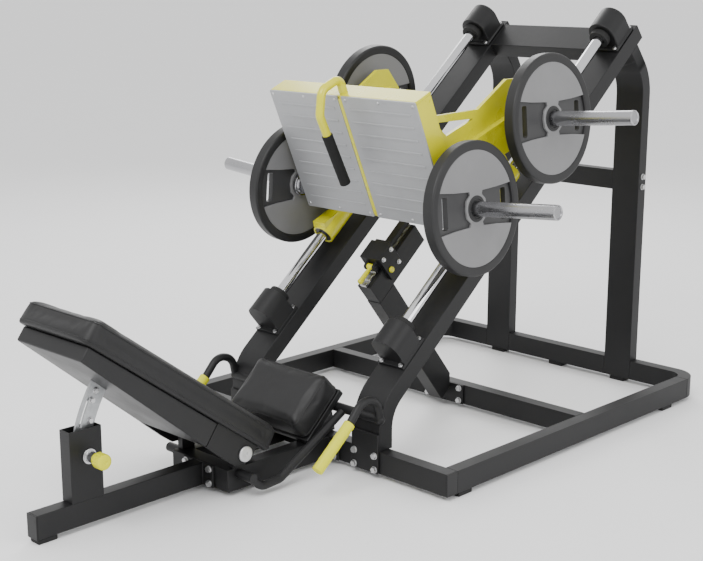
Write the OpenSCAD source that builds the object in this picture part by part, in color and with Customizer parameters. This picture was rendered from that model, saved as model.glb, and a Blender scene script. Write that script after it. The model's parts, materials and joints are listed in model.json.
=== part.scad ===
// Plate-loaded leg press with a raked carriage, a reclining backrest and a fixed seat.
// X runs across the machine, Y from the head end to the tower, Z up from the floor.

/* [Overall] */
// Length from the head end of the machine to the back of the tower
machine_l = 2612; // [2300:1:3200]
// Width of the base over its side rails
base_w = 1320; // [1200:1:1600]
// Length of the base from its front rail to the back of the tower
base_l = 1524; // [1400:1:1600]
// Rake of the guide rods above the floor, in degrees
slope = 40; // [36:1:44]

/* [Frame tubes] */
// Width of the floor rails
rail_w = 50; // [40:1:60]
// Height of the floor rails
rail_h = 76; // [60:1:92]
// Clear height below the floor rails
foot_h = 16; // [12:1:30]
// Wall of the frame tubes
frame_wall = 4; // [3:0.5:5]
// Outer radius of the two rear corners of the base
corner_r = 100; // [80:1:160]
// Distance from the middle of the machine to each rod, beam and post
beam_x = 307; // [290:1:360]
// Width of the raked beams and the posts
beam_w = 121; // [100:1:126]
// Thickness of the raked beams
beam_t = 62; // [50:1:75]
// Inner radius of the bend at the foot of each beam
beam_bend_r = 120; // [90:1:150]
// Thickness of the posts
post_t = 50; // [40:1:60]
// Inner radius of the bend at the top of each post
post_bend_r = 150; // [120:1:180]
// Distance from the front rail to the middle rail
mid_rail_y = 760; // [740:1:920]
// Height of the middle crossbeam between the posts
mid_beam_z = 820; // [650:1:900]

/* [Guide rods] */
// Diameter of the guide rods
rod_d = 40; // [34:1:48]
// Height of the rod line above the floor, over the front rail
rod_z0 = 328; // [310:1:360]
// Distance from a beam's face up to the middle of its rod
rod_gap = 65; // [60:1:78]
// Radius of the rounded rod clamps
clamp_r = 55; // [48:1:58]
// Length of the rod clamps
clamp_l = 100; // [80:1:120]
// Start of the lower clamps, along the rake
clamp_s = 120; // [110:1:130]
// Radial running clearance of the guide bushes
bush_gap = 0.05; // [0.02:0.01:0.1]

/* [Carriage] */
// Start of the carriage sleeves, along the rake
sleeve_s = 530; // [520:1:600]
// Length of the carriage sleeves
sleeve_l = 423; // [360:1:500]
// Outer radius of the carriage sleeves
sleeve_r = 42; // [38:1:46]
// Length of each guide bush
bush_l = 60; // [40:1:80]
// Width of the footplate
foot_w = 688; // [600:1:820]
// Length of the footplate from its lower to its upper edge
foot_l = 477; // [420:1:560]
// Depth of the footplate frame
foot_d = 82; // [70:1:98]
// Lean of the footplate away from square to the rake, in degrees
foot_lean = 16.5; // [12:0.5:20]
// Thickness of the footplate frame bars
bar_t = 10; // [8:1:12]
// Thickness of the aluminium foot panels
panel_t = 6; // [5:0.5:8]
// Width of the rib between the two foot panels
rib_w = 16; // [12:1:24]
// Width of the carriage arms
arm_w = 60; // [50:1:70]

/* [Weight plates] */
// Diameter of the weight plates
plate_d = 450; // [380:1:460]
// Thickness of the weight plates
plate_t = 45; // [36:1:54]
// Diameter of the plate pins
pin_d = 50; // [42:0.5:50]
// Bare length of each near plate pin outside its plate
pin_free = 325; // [270:1:400]
// Upward tilt of the plate pins, in degrees
pin_tilt = 4.8; // [3:0.1:6]
// Radial clearance of a plate's hub on its pin
plate_gap = 0.4; // [0.3:0.1:1]
// Distance from the middle of the machine to the inner faces of the near plates
plate_x = 418; // [410:1:460]
// Distance from the middle of the machine to the inner faces of the far plates
far_plate_x = 372; // [371:1:460]
// Width of the hand slots in the plates
slot_w = 26; // [22:1:32]
// Length of the hand slots in the plates
slot_l = 108; // [90:1:130]
// Distance from a plate's centre to the middle of each hand slot
slot_x = 150; // [130:1:160]

/* [Seat and backrest] */
// Rake of the backrest, in degrees
back_rake = 36.3; // [34:0.1:38]
// Rake of the seat, in degrees
seat_rake = 43; // [40:1:46]
// Width of the pads
pad_w = 370; // [320:1:376]
// Length of the backrest pad
back_l = 862; // [760:1:880]
// Thickness of the backrest pad
back_t = 85; // [70:1:88]
// Length of the seat pad
seat_l = 218; // [200:1:222]
// Thickness of the seat pad
seat_t = 95; // [80:1:98]
// Thickness of the board under the seat pad
board_t = 25; // [18:1:27]
// Diameter of the backrest pivot shaft
pivot_d = 25; // [20:1:28]
// Radial running clearance of the pivot shaft
pivot_gap = 0.05; // [0.02:0.01:0.1]
// Diameter of the handle tube
handle_d = 32; // [25:1:34]
// Distance from the middle of the machine to each side grip
grip_x = 360; // [330:1:400]
// Diameter of the side grips
grip_d = 38; // [35:1:44]
// Length of the side grips
grip_l = 190; // [150:1:200]

/* [Head post] */
// Width of the head beam and its post
head_w = 50; // [44:1:60]
// Depth of the head post along the machine
post_d = 114; // [112:1:120]
// Thickness of the adjuster quadrant
quad_t = 8; // [6:1:12]
// Diameter of the pop pin
pop_d = 10; // [8:0.5:11]

/* [Hidden] */
$fn = 64;

front_y = machine_l / 2 - base_l;       // front face of the front rail
rear_y = machine_l / 2;                 // back of the tower
head_y = -machine_l / 2;                // head end of the machine
rail_z = foot_h + rail_h;               // top of the floor rails
beam_in = beam_x - beam_w / 2;
beam_out = beam_x + beam_w / 2;
inner_x = base_w / 2 - rail_w;          // inner face of a side rail
black = [0.11, 0.11, 0.12];
lime = [0.86, 0.87, 0.35];
steel = [0.75, 0.76, 0.78];
grey = [0.62, 0.63, 0.65];
weld = 0.02;                            // hairline between welded stretches, so that each stays a clean solid

// place of a point at s along the rake and t square to it
function slope_y(s, t) = front_y + s * cos(slope) - t * sin(slope);
function slope_z(s, t) = rod_z0 + s * sin(slope) + t * cos(slope);

// rake distance at which the post's middle line meets the underside of its beam
post_top_t = -rod_gap - beam_t;
post_lean_y = rear_y - front_y - post_t - post_bend_r + (post_bend_r + post_t / 2) * cos(slope);
post_s = (post_lean_y + post_top_t * sin(slope) - post_lean_run()) / cos(slope);
function post_lean_run() = 57;          // how far the leaning top stretch carries the post forward
post_straight = post_lean_run() / sin(slope);
post_bend_z = slope_z(post_s, post_top_t) - post_straight * cos(slope)
  - (post_bend_r + post_t / 2) * sin(slope);
beam_end_s = post_s + 60;
upper_clamp_s = post_s - 72;
cross_s = upper_clamp_s - 6;
rod_start_s = clamp_s + 12;
rod_end_s = upper_clamp_s + clamp_l - 12;
buffer_l = 25;
travel = upper_clamp_s - buffer_l - sleeve_s - sleeve_l - 2;

// beam foot bend: centre of the arc, measured from the front rail
bend_out = beam_bend_r + beam_t;
bend_z = rod_z0 - rod_gap / cos(slope) + bend_out * tan(slope) - bend_out / cos(slope);

// footplate frame
foot_s = sleeve_s + 44;
foot_t0 = sleeve_r + 66;
foot_tilt = slope - foot_lean;

// weight plate pins, as rake places of their centres
pin_low = [sleeve_s + 88, sleeve_r + 131];
pin_high = [sleeve_s + 569, sleeve_r + 71];
pin_face_low = foot_w / 2;
pin_face_high = beam_x + arm_w / 2;
collar_t = 12;
collar_r = 45;

// stop column on the middle rail
col_w = 64;
rack_top = -38;
rack_depth = 82;
rack_s = 369;
rack_l = 302;
rack_bar_t = 10;
block_s = sleeve_s - 75;
block_l = 80;
block_gap = 1;
block_pad = 9.5;
cross_h = 50;
strut_a = 51.5;

// backrest pivot and seat, measured from the front rail
pivot_y = -408;
pivot_z = rail_z + 51;
back_top = 126;                         // pad surface above the pivot, square to the backrest
back_end = 96;                          // pad end beyond the pivot, towards the seat
shell_end = -160;
hinge_x = 150;
hinge_t = 16;
seat_top_y = -45;
seat_top_z = rail_z + 243;
bar_drop = seat_t + board_t + handle_d / 2;
bar_back = -52;
bar_y = seat_top_y + bar_back * cos(seat_rake) + bar_drop * sin(seat_rake);
bar_z = seat_top_z + bar_back * sin(seat_rake) - bar_drop * cos(seat_rake);
base_x = 140;                           // outer face of the seat base tubes
base_end = -450;
flange_t = 8;
tube_d = 28;
tube_x = pad_w / 2 + tube_d / 2 - 2;

// quadrant: arcs about the pivot
quad_in = 482;
quad_out = 545;
track_r = 494;
pop_a = 9.9;
pop_y = pivot_y - track_r * cos(pop_a);
pop_z = pivot_z + track_r * sin(pop_a);
track_gap = 1.3;
post_y = -962;
post_top_z = rail_z + 223;
pop_reach = 8;

// ---------- placing ----------
module from_front() translate([0, front_y, 0]) children();
module on_slope() translate([0, front_y, rod_z0]) rotate([slope, 0, 0]) children();
module on_foot() translate([0, slope_y(foot_s, foot_t0), slope_z(foot_s, foot_t0)])
  rotate([foot_tilt, 0, 0]) children();
module on_back() translate([0, front_y + pivot_y, pivot_z]) rotate([-back_rake, 0, 0]) children();
module on_seat() translate([0, front_y + seat_top_y, seat_top_z]) rotate([seat_rake, 0, 0]) children();
module far_side() mirror([1, 0, 0]) children();
module both_sides() {
  children();
  mirror([1, 0, 0]) children();
}
module on_pin(place, x) translate([x, slope_y(place[0], place[1]), slope_z(place[0], place[1])])
  rotate([0, -pin_tilt, 0]) children();

// ---------- shapes ----------
module block(low, high) translate(low) cube(high - low);
module box_tube(low, high, axis, wall = frame_wall) difference() {
  block(low, high);
  block([for (i = [0:2]) low[i] + (i == axis ? -1 : wall)], [for (i = [0:2]) high[i] + (i == axis ? 1 : -wall)]);
}
module rod_x(x0, x1, r) translate([x0, 0, 0]) rotate([0, 90, 0]) cylinder(h = x1 - x0, r = r);
module rod_s(s0, s1, r) translate([0, s0, 0]) rotate([-90, 0, 0]) cylinder(h = s1 - s0, r = r);
// side profile in the Y-Z plane, w wide in X
module profile_x(points, x0, x1) translate([x0, 0, 0]) rotate([90, 0, 90])
  linear_extrude(x1 - x0) polygon(points);
// bend of a box tube about an X axis: starts straight up at -Y and turns towards +Y
module bend_section(r, t, w, wall) translate([r, -w / 2]) difference() {
  square([t, w]);
  translate([wall, wall]) square([t - 2 * wall, w - 2 * wall]);
}
// round tube through points of the Y-Z plane, with rounded corners
bend_step = 0.4;                        // bends are this much slimmer than the straight stretches
bend_lap = 1.5;                         // degrees by which a bend runs into each straight stretch
function unit(v) = v / norm(v);
function turn(p, i) = acos(min(1, max(-1, unit(p[i] - p[i - 1]) * unit(p[i + 1] - p[i]))));
function trim(p, i, r) = i == 0 || i == len(p) - 1 ? 0 : r * tan(turn(p, i) / 2);
module bent_tube(p, r, d) {
  for (i = [0:len(p) - 2]) {
    way = unit(p[i + 1] - p[i]);
    run = norm(p[i + 1] - p[i]) - trim(p, i, r) - trim(p, i + 1, r);
    start = p[i] + way * trim(p, i, r);
    translate([0, start[0], start[1]]) rotate([atan2(way[1], way[0]), 0, 0])
      rotate([-90, 0, 0]) cylinder(h = run, d = d);
  }
  for (i = [1:len(p) - 2]) {
    in_way = unit(p[i] - p[i - 1]);
    out_way = unit(p[i + 1] - p[i]);
    side = sign(in_way[0] * out_way[1] - in_way[1] * out_way[0]);
    square_way = [-in_way[1], in_way[0]] * side;
    centre = p[i] - in_way * trim(p, i, r) + square_way * r;
    start_a = atan2(-square_way[1], -square_way[0]);
    low_a = side > 0 ? start_a : start_a - turn(p, i);
    translate([0, centre[0], centre[1]]) rotate([90, 0, 90]) rotate([0, 0, low_a - bend_lap])
      rotate_extrude(angle = turn(p, i) + 2 * bend_lap) translate([r, 0]) circle(d = d - bend_step);
  }
}
module hex_bolt(d = 12) {
  cylinder(h = d / 5, r = d);
  translate([0, 0, d / 5]) cylinder(h = d * 0.65, r = d * 0.85, $fn = 6);
}

// ---------- base ----------
module front_rail() color(black) from_front()
  box_tube([-base_w / 2 + frame_wall, 0, foot_h], [base_w / 2 - frame_wall, rail_w, rail_z], 0);
module cross_rails() color(black) {
  from_front() box_tube([-inner_x, mid_rail_y, foot_h], [inner_x, mid_rail_y + rail_w, rail_z], 0);
  box_tube([-beam_in, rear_y - rail_w, foot_h], [beam_in, rear_y, rail_z], 0);
}
module side_rail() from_front()
  box_tube([inner_x, rail_w, foot_h], [base_w / 2, base_l - corner_r, rail_z], 1);
module side_rail_near() color(black) side_rail();
module side_rail_far() color(black) far_side() side_rail();
module rear_corner() {
  translate([base_w / 2 - corner_r, rear_y - corner_r, foot_h]) rotate_extrude(angle = 90)
    translate([corner_r - rail_w, 0]) difference() {
      square([rail_w, rail_h]);
      translate([frame_wall, frame_wall]) square([rail_w - 2 * frame_wall, rail_h - 2 * frame_wall]);
    }
  box_tube([beam_out, rear_y - rail_w, foot_h], [base_w / 2 - corner_r, rear_y, rail_z], 0);
}
module rear_corner_near() color(black) rear_corner();
module rear_corner_far() color(black) far_side() rear_corner();

foot_pad = [66, 44];
foot_spots = [
  [base_w / 2 - rail_w / 2, front_y + 95], [base_w / 2 - rail_w / 2, rear_y - corner_r - 130]
];
module foot(x, y, along_x = true) translate([x, y, 0]) {
  size = along_x ? foot_pad : [foot_pad[1], foot_pad[0]];
  translate([-size[0] / 2, -size[1] / 2, 0]) cube([size[0], size[1], foot_h]);
}
module rail_feet() color([0.06, 0.06, 0.06]) {
  both_sides() {
    for (spot = foot_spots) foot(spot[0], spot[1], false);
    foot(beam_x, rear_y - post_t / 2);
  }
  foot(0, rear_y - rail_w / 2);
  foot(0, head_y + 40, false);
}

// ---------- tower ----------
// the beam rises from the front rail, bends and runs up the rake
module beam() {
  from_front() {
    box_tube([beam_in, 0, rail_z], [beam_out, beam_t, bend_z - weld], 2);
    translate([beam_x, bend_out, bend_z]) rotate([90, 0, 90]) rotate([0, 0, 90 + slope])
      rotate_extrude(angle = 90 - slope) bend_section(beam_bend_r, beam_t, beam_w, frame_wall);
  }
  on_slope() box_tube([beam_in, beam_start_s() + weld, -rod_gap - beam_t], [beam_out, beam_end_s, -rod_gap], 1);
}
function beam_start_s() = bend_out * cos(slope) + (bend_z - rod_z0) * sin(slope);
module beam_near() color(black) beam();
module beam_far() color(black) far_side() beam();

module post() {
  box_tube([beam_in, rear_y - post_t, foot_h], [beam_out, rear_y, post_bend_z], 2);
  translate([beam_x, rear_y - post_t - post_bend_r, post_bend_z]) rotate([90, 0, 90])
    rotate_extrude(angle = slope) bend_section(post_bend_r, post_t, beam_w, frame_wall);
  translate([0, rear_y - post_t - post_bend_r, post_bend_z]) rotate([slope, 0, 0])
    box_tube([beam_in, post_bend_r, 0], [beam_out, post_bend_r + post_t, post_straight], 2);
}
module post_near() color(black) post();
module post_far() color(black) far_side() post();
module top_crossbeam() color(black) on_slope()
  box_tube([-beam_in, cross_s, -rod_gap - beam_t], [beam_in, cross_s + beam_w, -rod_gap], 0);
module mid_crossbeam() color(black)
  box_tube([-beam_in, rear_y - post_t, mid_beam_z - rail_h / 2], [beam_in, rear_y, mid_beam_z + rail_h / 2], 0);

// ---------- guide rods ----------
module rod() on_slope() translate([beam_x, 0, 0]) rod_s(rod_start_s, rod_end_s, rod_d / 2);
module rod_near() color(steel) rod();
module rod_far() color(steel) far_side() rod();
clamp_foot_w = beam_w - 8;
clamp_foot_t = 12;
module clamp(s0, blind_low) on_slope() translate([beam_x, 0, 0]) difference() {
  union() {
    rod_s(s0, s0 + clamp_l, clamp_r);
    block([-clamp_r, s0, -rod_gap + clamp_foot_t], [clamp_r, s0 + clamp_l, 0]);
    block([-clamp_foot_w / 2, s0 - 16, -rod_gap], [clamp_foot_w / 2, s0 + clamp_l + 16, -rod_gap + clamp_foot_t]);
  }
  rod_s(s0 + (blind_low ? 12 : -1), s0 + clamp_l - (blind_low ? -1 : 12), rod_d / 2);
}
module lower_clamps() color(black) both_sides() clamp(clamp_s, true);
module upper_clamps() color(black) both_sides() clamp(upper_clamp_s, false);
module buffer_ring(s0) on_slope() translate([beam_x, 0, 0]) difference() {
  rod_s(s0, s0 + buffer_l, sleeve_r - 4);
  rod_s(s0 - 1, s0 + buffer_l + 1, rod_d / 2);
}
module rod_buffers() color([0.05, 0.05, 0.05]) both_sides() {
  buffer_ring(clamp_s + clamp_l);
  buffer_ring(upper_clamp_s - buffer_l);
}
module beam_foot_plates() color(black) both_sides() from_front()
  block([beam_in, -flange_t, foot_h], [beam_out, 0, rail_z + 60]);

// ---------- carriage stop ----------
// a strut leans from the middle rail to the elbow, and the rack box follows the rake
elbow = [slope_y(rack_s, rack_top) - front_y, slope_z(rack_s, rack_top)];
strut_d = 95;
strut_l = 640;
flange_y = mid_rail_y - flange_t;
module strut_bar(inset) from_front() translate([0, elbow[0], elbow[1]]) rotate([-strut_a, 0, 0])
  block([-col_w / 2 + inset, -60, inset], [col_w / 2 - inset, strut_l, strut_d - inset]);
module stop_column() color(black) {
  difference() {
    strut_bar(0);
    strut_bar(frame_wall);
    from_front() block([-col_w, flange_y - weld, -200], [col_w, 2 * mid_rail_y, 2000]);
    on_slope() block([-col_w, -500, rack_top - rack_depth - weld], [col_w, 1500, 500]);
  }
  on_slope() difference() {
    block([-col_w / 2, rack_s, rack_top - rack_depth], [col_w / 2, rack_s + rack_l, rack_top]);
    block([-col_w / 2 + frame_wall, rack_s + frame_wall, rack_top - rack_depth + frame_wall],
          [col_w / 2 - frame_wall, rack_s + rack_l + 1, rack_top - frame_wall]);
  }
  from_front() block([-1.5 * col_w, flange_y, foot_h], [1.5 * col_w, mid_rail_y, rail_z]);
}
notch_n = 8;
module stop_rack() color(steel) on_slope() difference() {
  block([-14, rack_s, rack_top], [14, rack_s + rack_l, rack_top + rack_bar_t]);
  for (i = [0:notch_n - 1])
    translate([-15, rack_s + 14 + i * rack_l / notch_n, rack_top + rack_bar_t / 2]) cube([30, 14, rack_bar_t]);
}
// saddle that straddles the rack box, with ears for the lever
ear_x = 14;
lever_s = block_s - 14;
lever_t = -9;
lever_l = 68;
lever_pin_r = 5;
module stop_block() {
  color(black) on_slope() difference() {
    union() {
      block([-col_w / 2 - 16, block_s, rack_top - 50], [col_w / 2 + 16, block_s + block_l, 22]);
      for (x = [-ear_x - 10, ear_x]) {
        block([x, lever_s, lever_t - 13], [x + 10, block_s, lever_t + 13]);
        translate([0, lever_s, lever_t]) rod_x(x, x + 10, 13);
      }
    }
    block([-col_w / 2 - block_gap, block_s - 1, rack_top - 51],
          [col_w / 2 + block_gap, block_s + block_l + 1, rack_top + rack_bar_t + block_gap]);
    translate([0, lever_s, lever_t]) rod_x(-ear_x - 11, ear_x + 11, lever_pin_r);
  }
  color(steel) on_slope() translate([0, lever_s, lever_t]) {
    rod_x(-ear_x - 12, ear_x + 12, lever_pin_r);
  }
  color([0.05, 0.05, 0.05]) on_slope()
    block([-col_w / 2, block_s + block_l, -22], [col_w / 2, block_s + block_l + block_pad, 20]);
}
module stop_lever() color(lime) on_slope() translate([0, lever_s, lever_t]) difference() {
  union() {
    rod_x(-ear_x + 0.5, ear_x - 0.5, 11);
    rod_s(-lever_l, -4, 9);
    translate([0, -lever_l, 0]) sphere(r = 11);
  }
  rod_x(-ear_x, ear_x, lever_pin_r + 0.05);
}

// ---------- head end ----------
module head_beam() color(black) {
  box_tube([-head_w / 2, head_y + frame_wall, foot_h], [head_w / 2, front_y + base_end - 2 * flange_t, rail_z], 1);
  from_front() block([-75, base_end - 2 * flange_t, foot_h], [75, base_end - flange_t, rail_z]);
}
module head_post() color(black) from_front() difference() {
  box_tube([-head_w / 2, post_y, rail_z], [head_w / 2, post_y + post_d, post_top_z], 2);
  translate([0, pop_y, pop_z]) rod_x(0, head_w, pop_d / 2 + 0.05);
}
housing_l = 34;
module pop_pin_housing() color(steel) from_front() translate([0, pop_y, pop_z]) difference() {
  union() {
    rod_x(head_w / 2, head_w / 2 + 5, 24);
    rod_x(head_w / 2, head_w / 2 + housing_l, 17);
  }
  rod_x(head_w / 2 - 1, head_w / 2 + housing_l + 1, pop_d / 2 + 0.05);
}
module pop_pin() {
  color(steel) from_front() translate([0, pop_y, pop_z])
    rod_x(-pop_reach, head_w / 2 + housing_l + 12, pop_d / 2);
  color(lime) from_front() translate([0, pop_y, pop_z]) difference() {
    union() {
      rod_x(head_w / 2 + housing_l + 1, head_w / 2 + housing_l + 9, 19);
      rod_x(head_w / 2 + housing_l + 9, head_w / 2 + housing_l + 48, 25);
    }
    rod_x(head_w / 2 + housing_l, head_w / 2 + housing_l + 12, pop_d / 2);
  }
}

// ---------- seat base ----------
module seat_base() color(black) from_front() {
  both_sides() box_tube([base_x - rail_w, base_end, foot_h], [base_x, -flange_t, rail_z], 1);
  box_tube([-base_x + rail_w, base_end, foot_h], [base_x - rail_w, base_end + rail_w, rail_z], 0);
  block([-base_x, base_end - flange_t, foot_h], [base_x, base_end, rail_z]);
  both_sides() block([base_x - rail_w, -flange_t, foot_h], [185, 0, rail_z]);
}
lug_t = 24;
lug_r = 26;
module pivot_lugs() color(black) from_front() {
  both_sides() difference() {
    union() {
      translate([0, pivot_y, pivot_z]) rod_x(base_x - lug_t, base_x, lug_r);
      block([base_x - lug_t, pivot_y - lug_r, rail_z], [base_x, pivot_y + lug_r, pivot_z]);
    }
    translate([0, pivot_y, pivot_z]) rod_x(base_x - lug_t - 1, base_x + 1, pivot_d / 2 + pivot_gap);
  }
  translate([0, pivot_y, pivot_z]) difference() {
    rod_x(-base_x + lug_t, base_x - lug_t, pivot_d / 2 + 8);
    rod_x(-base_x, base_x, pivot_d / 2 + pivot_gap);
  }
  seat_brackets();
}
// plates that carry the seat board on the base tubes
board_low = seat_t + board_t;
function seat_y(y, z) = seat_top_y + y * cos(seat_rake) - z * sin(seat_rake);
function seat_z(y, z) = seat_top_z + y * sin(seat_rake) + z * cos(seat_rake);
module seat_brackets() both_sides() difference() {
  profile_x([
    [seat_y(-seat_l + 8, -board_low), rail_z], [seat_y(-seat_l + 8, -board_low), seat_z(-seat_l + 8, -board_low)],
    [seat_y(-10, -board_low), seat_z(-10, -board_low)], [seat_y(-10, -board_low) + 30, rail_z]
  ], base_x - rail_w + 4, base_x - rail_w + 12);
  translate([0, bar_y, bar_z]) rod_x(0, base_x, handle_d / 2);
}
tube_way = unit([bar_y, bar_z] - [base_end + 170, rail_z - 58]);
tube_path = [[base_end + 45, rail_z - 20], [base_end + 90, rail_z - 62], [base_end + 170, rail_z - 58],
             [bar_y, bar_z] - tube_way * (handle_d / 2 + 0.5)];
module seat_tubes() color(black) from_front() both_sides() {
  translate([tube_x, 0, 0]) bent_tube(tube_path, 45, tube_d);
  translate([0, tube_path[0][0], tube_path[0][1]]) rod_x(base_x, tube_x + tube_d / 2 + 4, tube_d / 2 + 2);
}
module seat_board() color([0.08, 0.08, 0.08]) on_seat()
  block([-pad_w / 2 + 14, -seat_l, -seat_t - board_t], [pad_w / 2 - 14, -6, -seat_t]);
pad_cut = 9;
module pad_block(w, l, t) rotate([90, 0, 0]) linear_extrude(l) polygon([
  [-w / 2 + pad_cut, 0], [w / 2 - pad_cut, 0], [w / 2, -pad_cut], [w / 2, -t + 6], [w / 2 - 6, -t],
  [-w / 2 + 6, -t], [-w / 2, -t + 6], [-w / 2, -pad_cut]
]);
module seat_pad() color([0.12, 0.12, 0.12]) on_seat() pad_block(pad_w - 20, seat_l, seat_t);

// ---------- handles ----------
// a hook that rises from the beam and comes over down to the grip, with a cross bar to the seat
grip_top = [-128, 224];
grip_way = [-cos(39.5), -sin(39.5)];
hook_path = [[bar_y, bar_z], [bar_y - 14, bar_z + 66], [-72, bar_z + 86], grip_top,
             grip_top + grip_way * grip_l];
// the bar is welded to the inner face of the beam and the hook to its front face
module handle() from_front() {
  translate([0, bar_y, bar_z]) rod_x(0.2, beam_in, handle_d / 2);
  difference() {
    translate([grip_x, 0, 0]) bent_tube(hook_path, 30, handle_d - 4);
    block([beam_in, 0, rail_z], [grip_x + handle_d, beam_w, bar_z + beam_w]);
  }
}
module handle_near() color(black) handle();
module handle_far() color(black) far_side() handle();
module handle_grips() color(lime) from_front() both_sides()
  translate([grip_x, grip_top[0], grip_top[1]]) rotate([180 + 39.5, 0, 0]) difference() {
    union() {
      rod_s(4, grip_l + 5, grip_d / 2);
    }
    rod_s(3, grip_l, handle_d / 2 - 2);
  }

// ---------- fasteners and caps ----------
module bolt_front(x, y, z) translate([x, y, z]) rotate([90, 0, 0]) hex_bolt();
module bolt_side(x, y, z) translate([x, y, z]) rotate([0, 90, 0]) hex_bolt();
module frame_bolts() color(steel) both_sides() {
  from_front() {
    for (x = [beam_x - 46, beam_x + 46], z = [foot_h + 14, rail_z - 14]) bolt_front(x, -flange_t, z);
    for (z = [foot_h + 14, rail_z - 14]) bolt_front(base_x + 25, -flange_t, z);
    for (z = [foot_h + 14, rail_z - 14]) bolt_front(1.5 * col_w - 18, flange_y, z);
    for (z = [foot_h + 14, rail_z - 14]) bolt_front(58, base_end - 2 * flange_t, z);
  }
  for (z = [foot_h + 18, rail_z - 18, mid_beam_z - 20, mid_beam_z + 20])
    bolt_side(beam_out, rear_y - post_t / 2, z);
  on_slope() for (s = [clamp_s, upper_clamp_s], x = [-1, 1], e = [-8, clamp_l + 8])
    translate([beam_x + x * (clamp_foot_w / 2 - 14), s + e, -rod_gap + clamp_foot_t]) hex_bolt(8);
}
module end_caps() color([0.06, 0.06, 0.06]) {
  block([-head_w / 2, head_y, foot_h], [head_w / 2, head_y + frame_wall, rail_z]);
  both_sides() {
    from_front() block([base_w / 2 - frame_wall, 0, foot_h], [base_w / 2, rail_w, rail_z]);
    on_slope() block([beam_in, beam_end_s, -rod_gap - beam_t], [beam_out, beam_end_s + frame_wall, -rod_gap]);
  }
  on_slope() block([-col_w / 2, rack_s + rack_l, rack_top - rack_depth],
                   [col_w / 2, rack_s + rack_l + frame_wall, rack_top]);
}

// ---------- carriage ----------
module foot_frame_ends() color(lime) on_foot() {
  block([-foot_w / 2, panel_t, foot_l - bar_t], [foot_w / 2, foot_d, foot_l]);
  block([-foot_w / 2, panel_t, 0], [foot_w / 2, foot_d, bar_t]);
  for (z = [0.16, 0.72] * foot_l) box_tube([-foot_w / 2 + bar_t, foot_d - 40, z], [-rib_w / 2, foot_d, z + 50], 0);
  for (z = [0.16, 0.72] * foot_l) box_tube([rib_w / 2, foot_d - 40, z], [foot_w / 2 - bar_t, foot_d, z + 50], 0);
}
module foot_frame_sides() color(lime) on_foot() {
  both_sides() block([foot_w / 2 - bar_t, panel_t, bar_t], [foot_w / 2, foot_d, foot_l - bar_t]);
  block([-rib_w / 2, 0, bar_t], [rib_w / 2, foot_d, foot_l - bar_t]);
}
rib_n = 9;
rib_h = 2;
module foot_panel() on_foot() {
  block([rib_w / 2, 0, 0], [foot_w / 2, panel_t, foot_l]);
  for (i = [1:rib_n])
    block([rib_w / 2 + 26, -rib_h, i * foot_l / (rib_n + 1) - 4], [foot_w / 2 - 30, 0, i * foot_l / (rib_n + 1) + 4]);
}
module foot_panel_near() color(grey) foot_panel();
module foot_panel_far() color(grey) far_side() foot_panel();

// arm: lower bracket, diagonal box arm, web to the sleeve and a peaked gusset over the upper pin
arm_end = [sleeve_s + 646, sleeve_r + 96];
gusset_t = 14;
module arm_outline(points, w) translate([beam_x, 0, 0]) profile_x(points, -w / 2, w / 2);
module arm() difference() {
  on_slope() {
    difference() {
      union() {
        arm_outline([[sleeve_s + 2, 25], [foot_s - 4, foot_t0 - 2], [foot_s + 70, foot_t0 - 4],
                     [foot_s + 120, 70], [foot_s + 110, 25]], arm_w);
        arm_outline([[sleeve_s + 320, 25], [sleeve_s + 413, 25], [sleeve_s + 413, 160],
                     [sleeve_s + 320, 200]], arm_w);
        difference() {
          arm_outline([[foot_s + 90, 322], [pin_high[0] - 60, pin_high[1] + 68], arm_end + [-46, 50],
                       arm_end + [-60, -60], [pin_high[0] - 110, pin_high[1] - 38], [foot_s + 80, 220]], arm_w);
          arm_outline([[foot_s + 80, 310], [pin_high[0] - 70, pin_high[1] + 56], [pin_high[0] - 70, pin_high[1] - 22],
                       [foot_s + 80, 232]], arm_w - 2 * frame_wall);
        }
        arm_outline([[foot_s + 160, 474], [sleeve_s + 423, 299], [sleeve_s + 599, 272], arm_end + [0, 95], arm_end,
                     [pin_high[0] + 11, 78], [sleeve_s + 425, 78], [foot_s + 80, 240]], gusset_t);
      }
      translate([beam_x, 0, 0]) rod_s(sleeve_s - 1, sleeve_s + sleeve_l + 1, sleeve_r);
      arm_outline([[foot_s + 190, 420], [sleeve_s + 385, 292], [foot_s + 205, 345]], arm_w);
    }
  }
  on_foot() block([-foot_w, -500, -60], [foot_w, foot_d, foot_l + 200]);
  on_foot() block([-foot_w, -500, 0], [foot_w, 0, foot_l]);
}
module arm_near() color(lime) arm();
module arm_far() color(lime) far_side() arm();

bush_wall = 14;
module sleeves() color(lime) both_sides() on_slope() translate([beam_x, 0, 0]) difference() {
  rod_s(sleeve_s, sleeve_s + sleeve_l, sleeve_r);
  rod_s(sleeve_s - 1, sleeve_s + sleeve_l + 1, rod_d / 2 + bush_wall);
}
module bush(s0) difference() {
  rod_s(s0, s0 + bush_l, rod_d / 2 + bush_wall);
  rod_s(s0 - 1, s0 + bush_l + 1, rod_d / 2 + bush_gap);
}
module guide_bushes() color([0.2, 0.2, 0.2]) both_sides() on_slope() translate([beam_x, 0, 0]) {
  bush(sleeve_s + 3);
  bush(sleeve_s + sleeve_l - bush_l - 3);
}
crossbar_s = [sleeve_s + 180, sleeve_s + sleeve_l - 80];
stop_gap = 1.5;                         // rest gap between the tongue and the bumper
module carriage_crossbars() color(lime) on_slope() difference() {
  for (s = crossbar_s)
    box_tube([-beam_x, s, -cross_h / 2], [beam_x, s + 60, cross_h / 2], 0);
  both_sides() translate([beam_x, 0, 0]) rod_s(sleeve_s - 1, sleeve_s + sleeve_l + 1, sleeve_r);
}
pin_tip = 3;                            // bevel at the end of each pin
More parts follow.
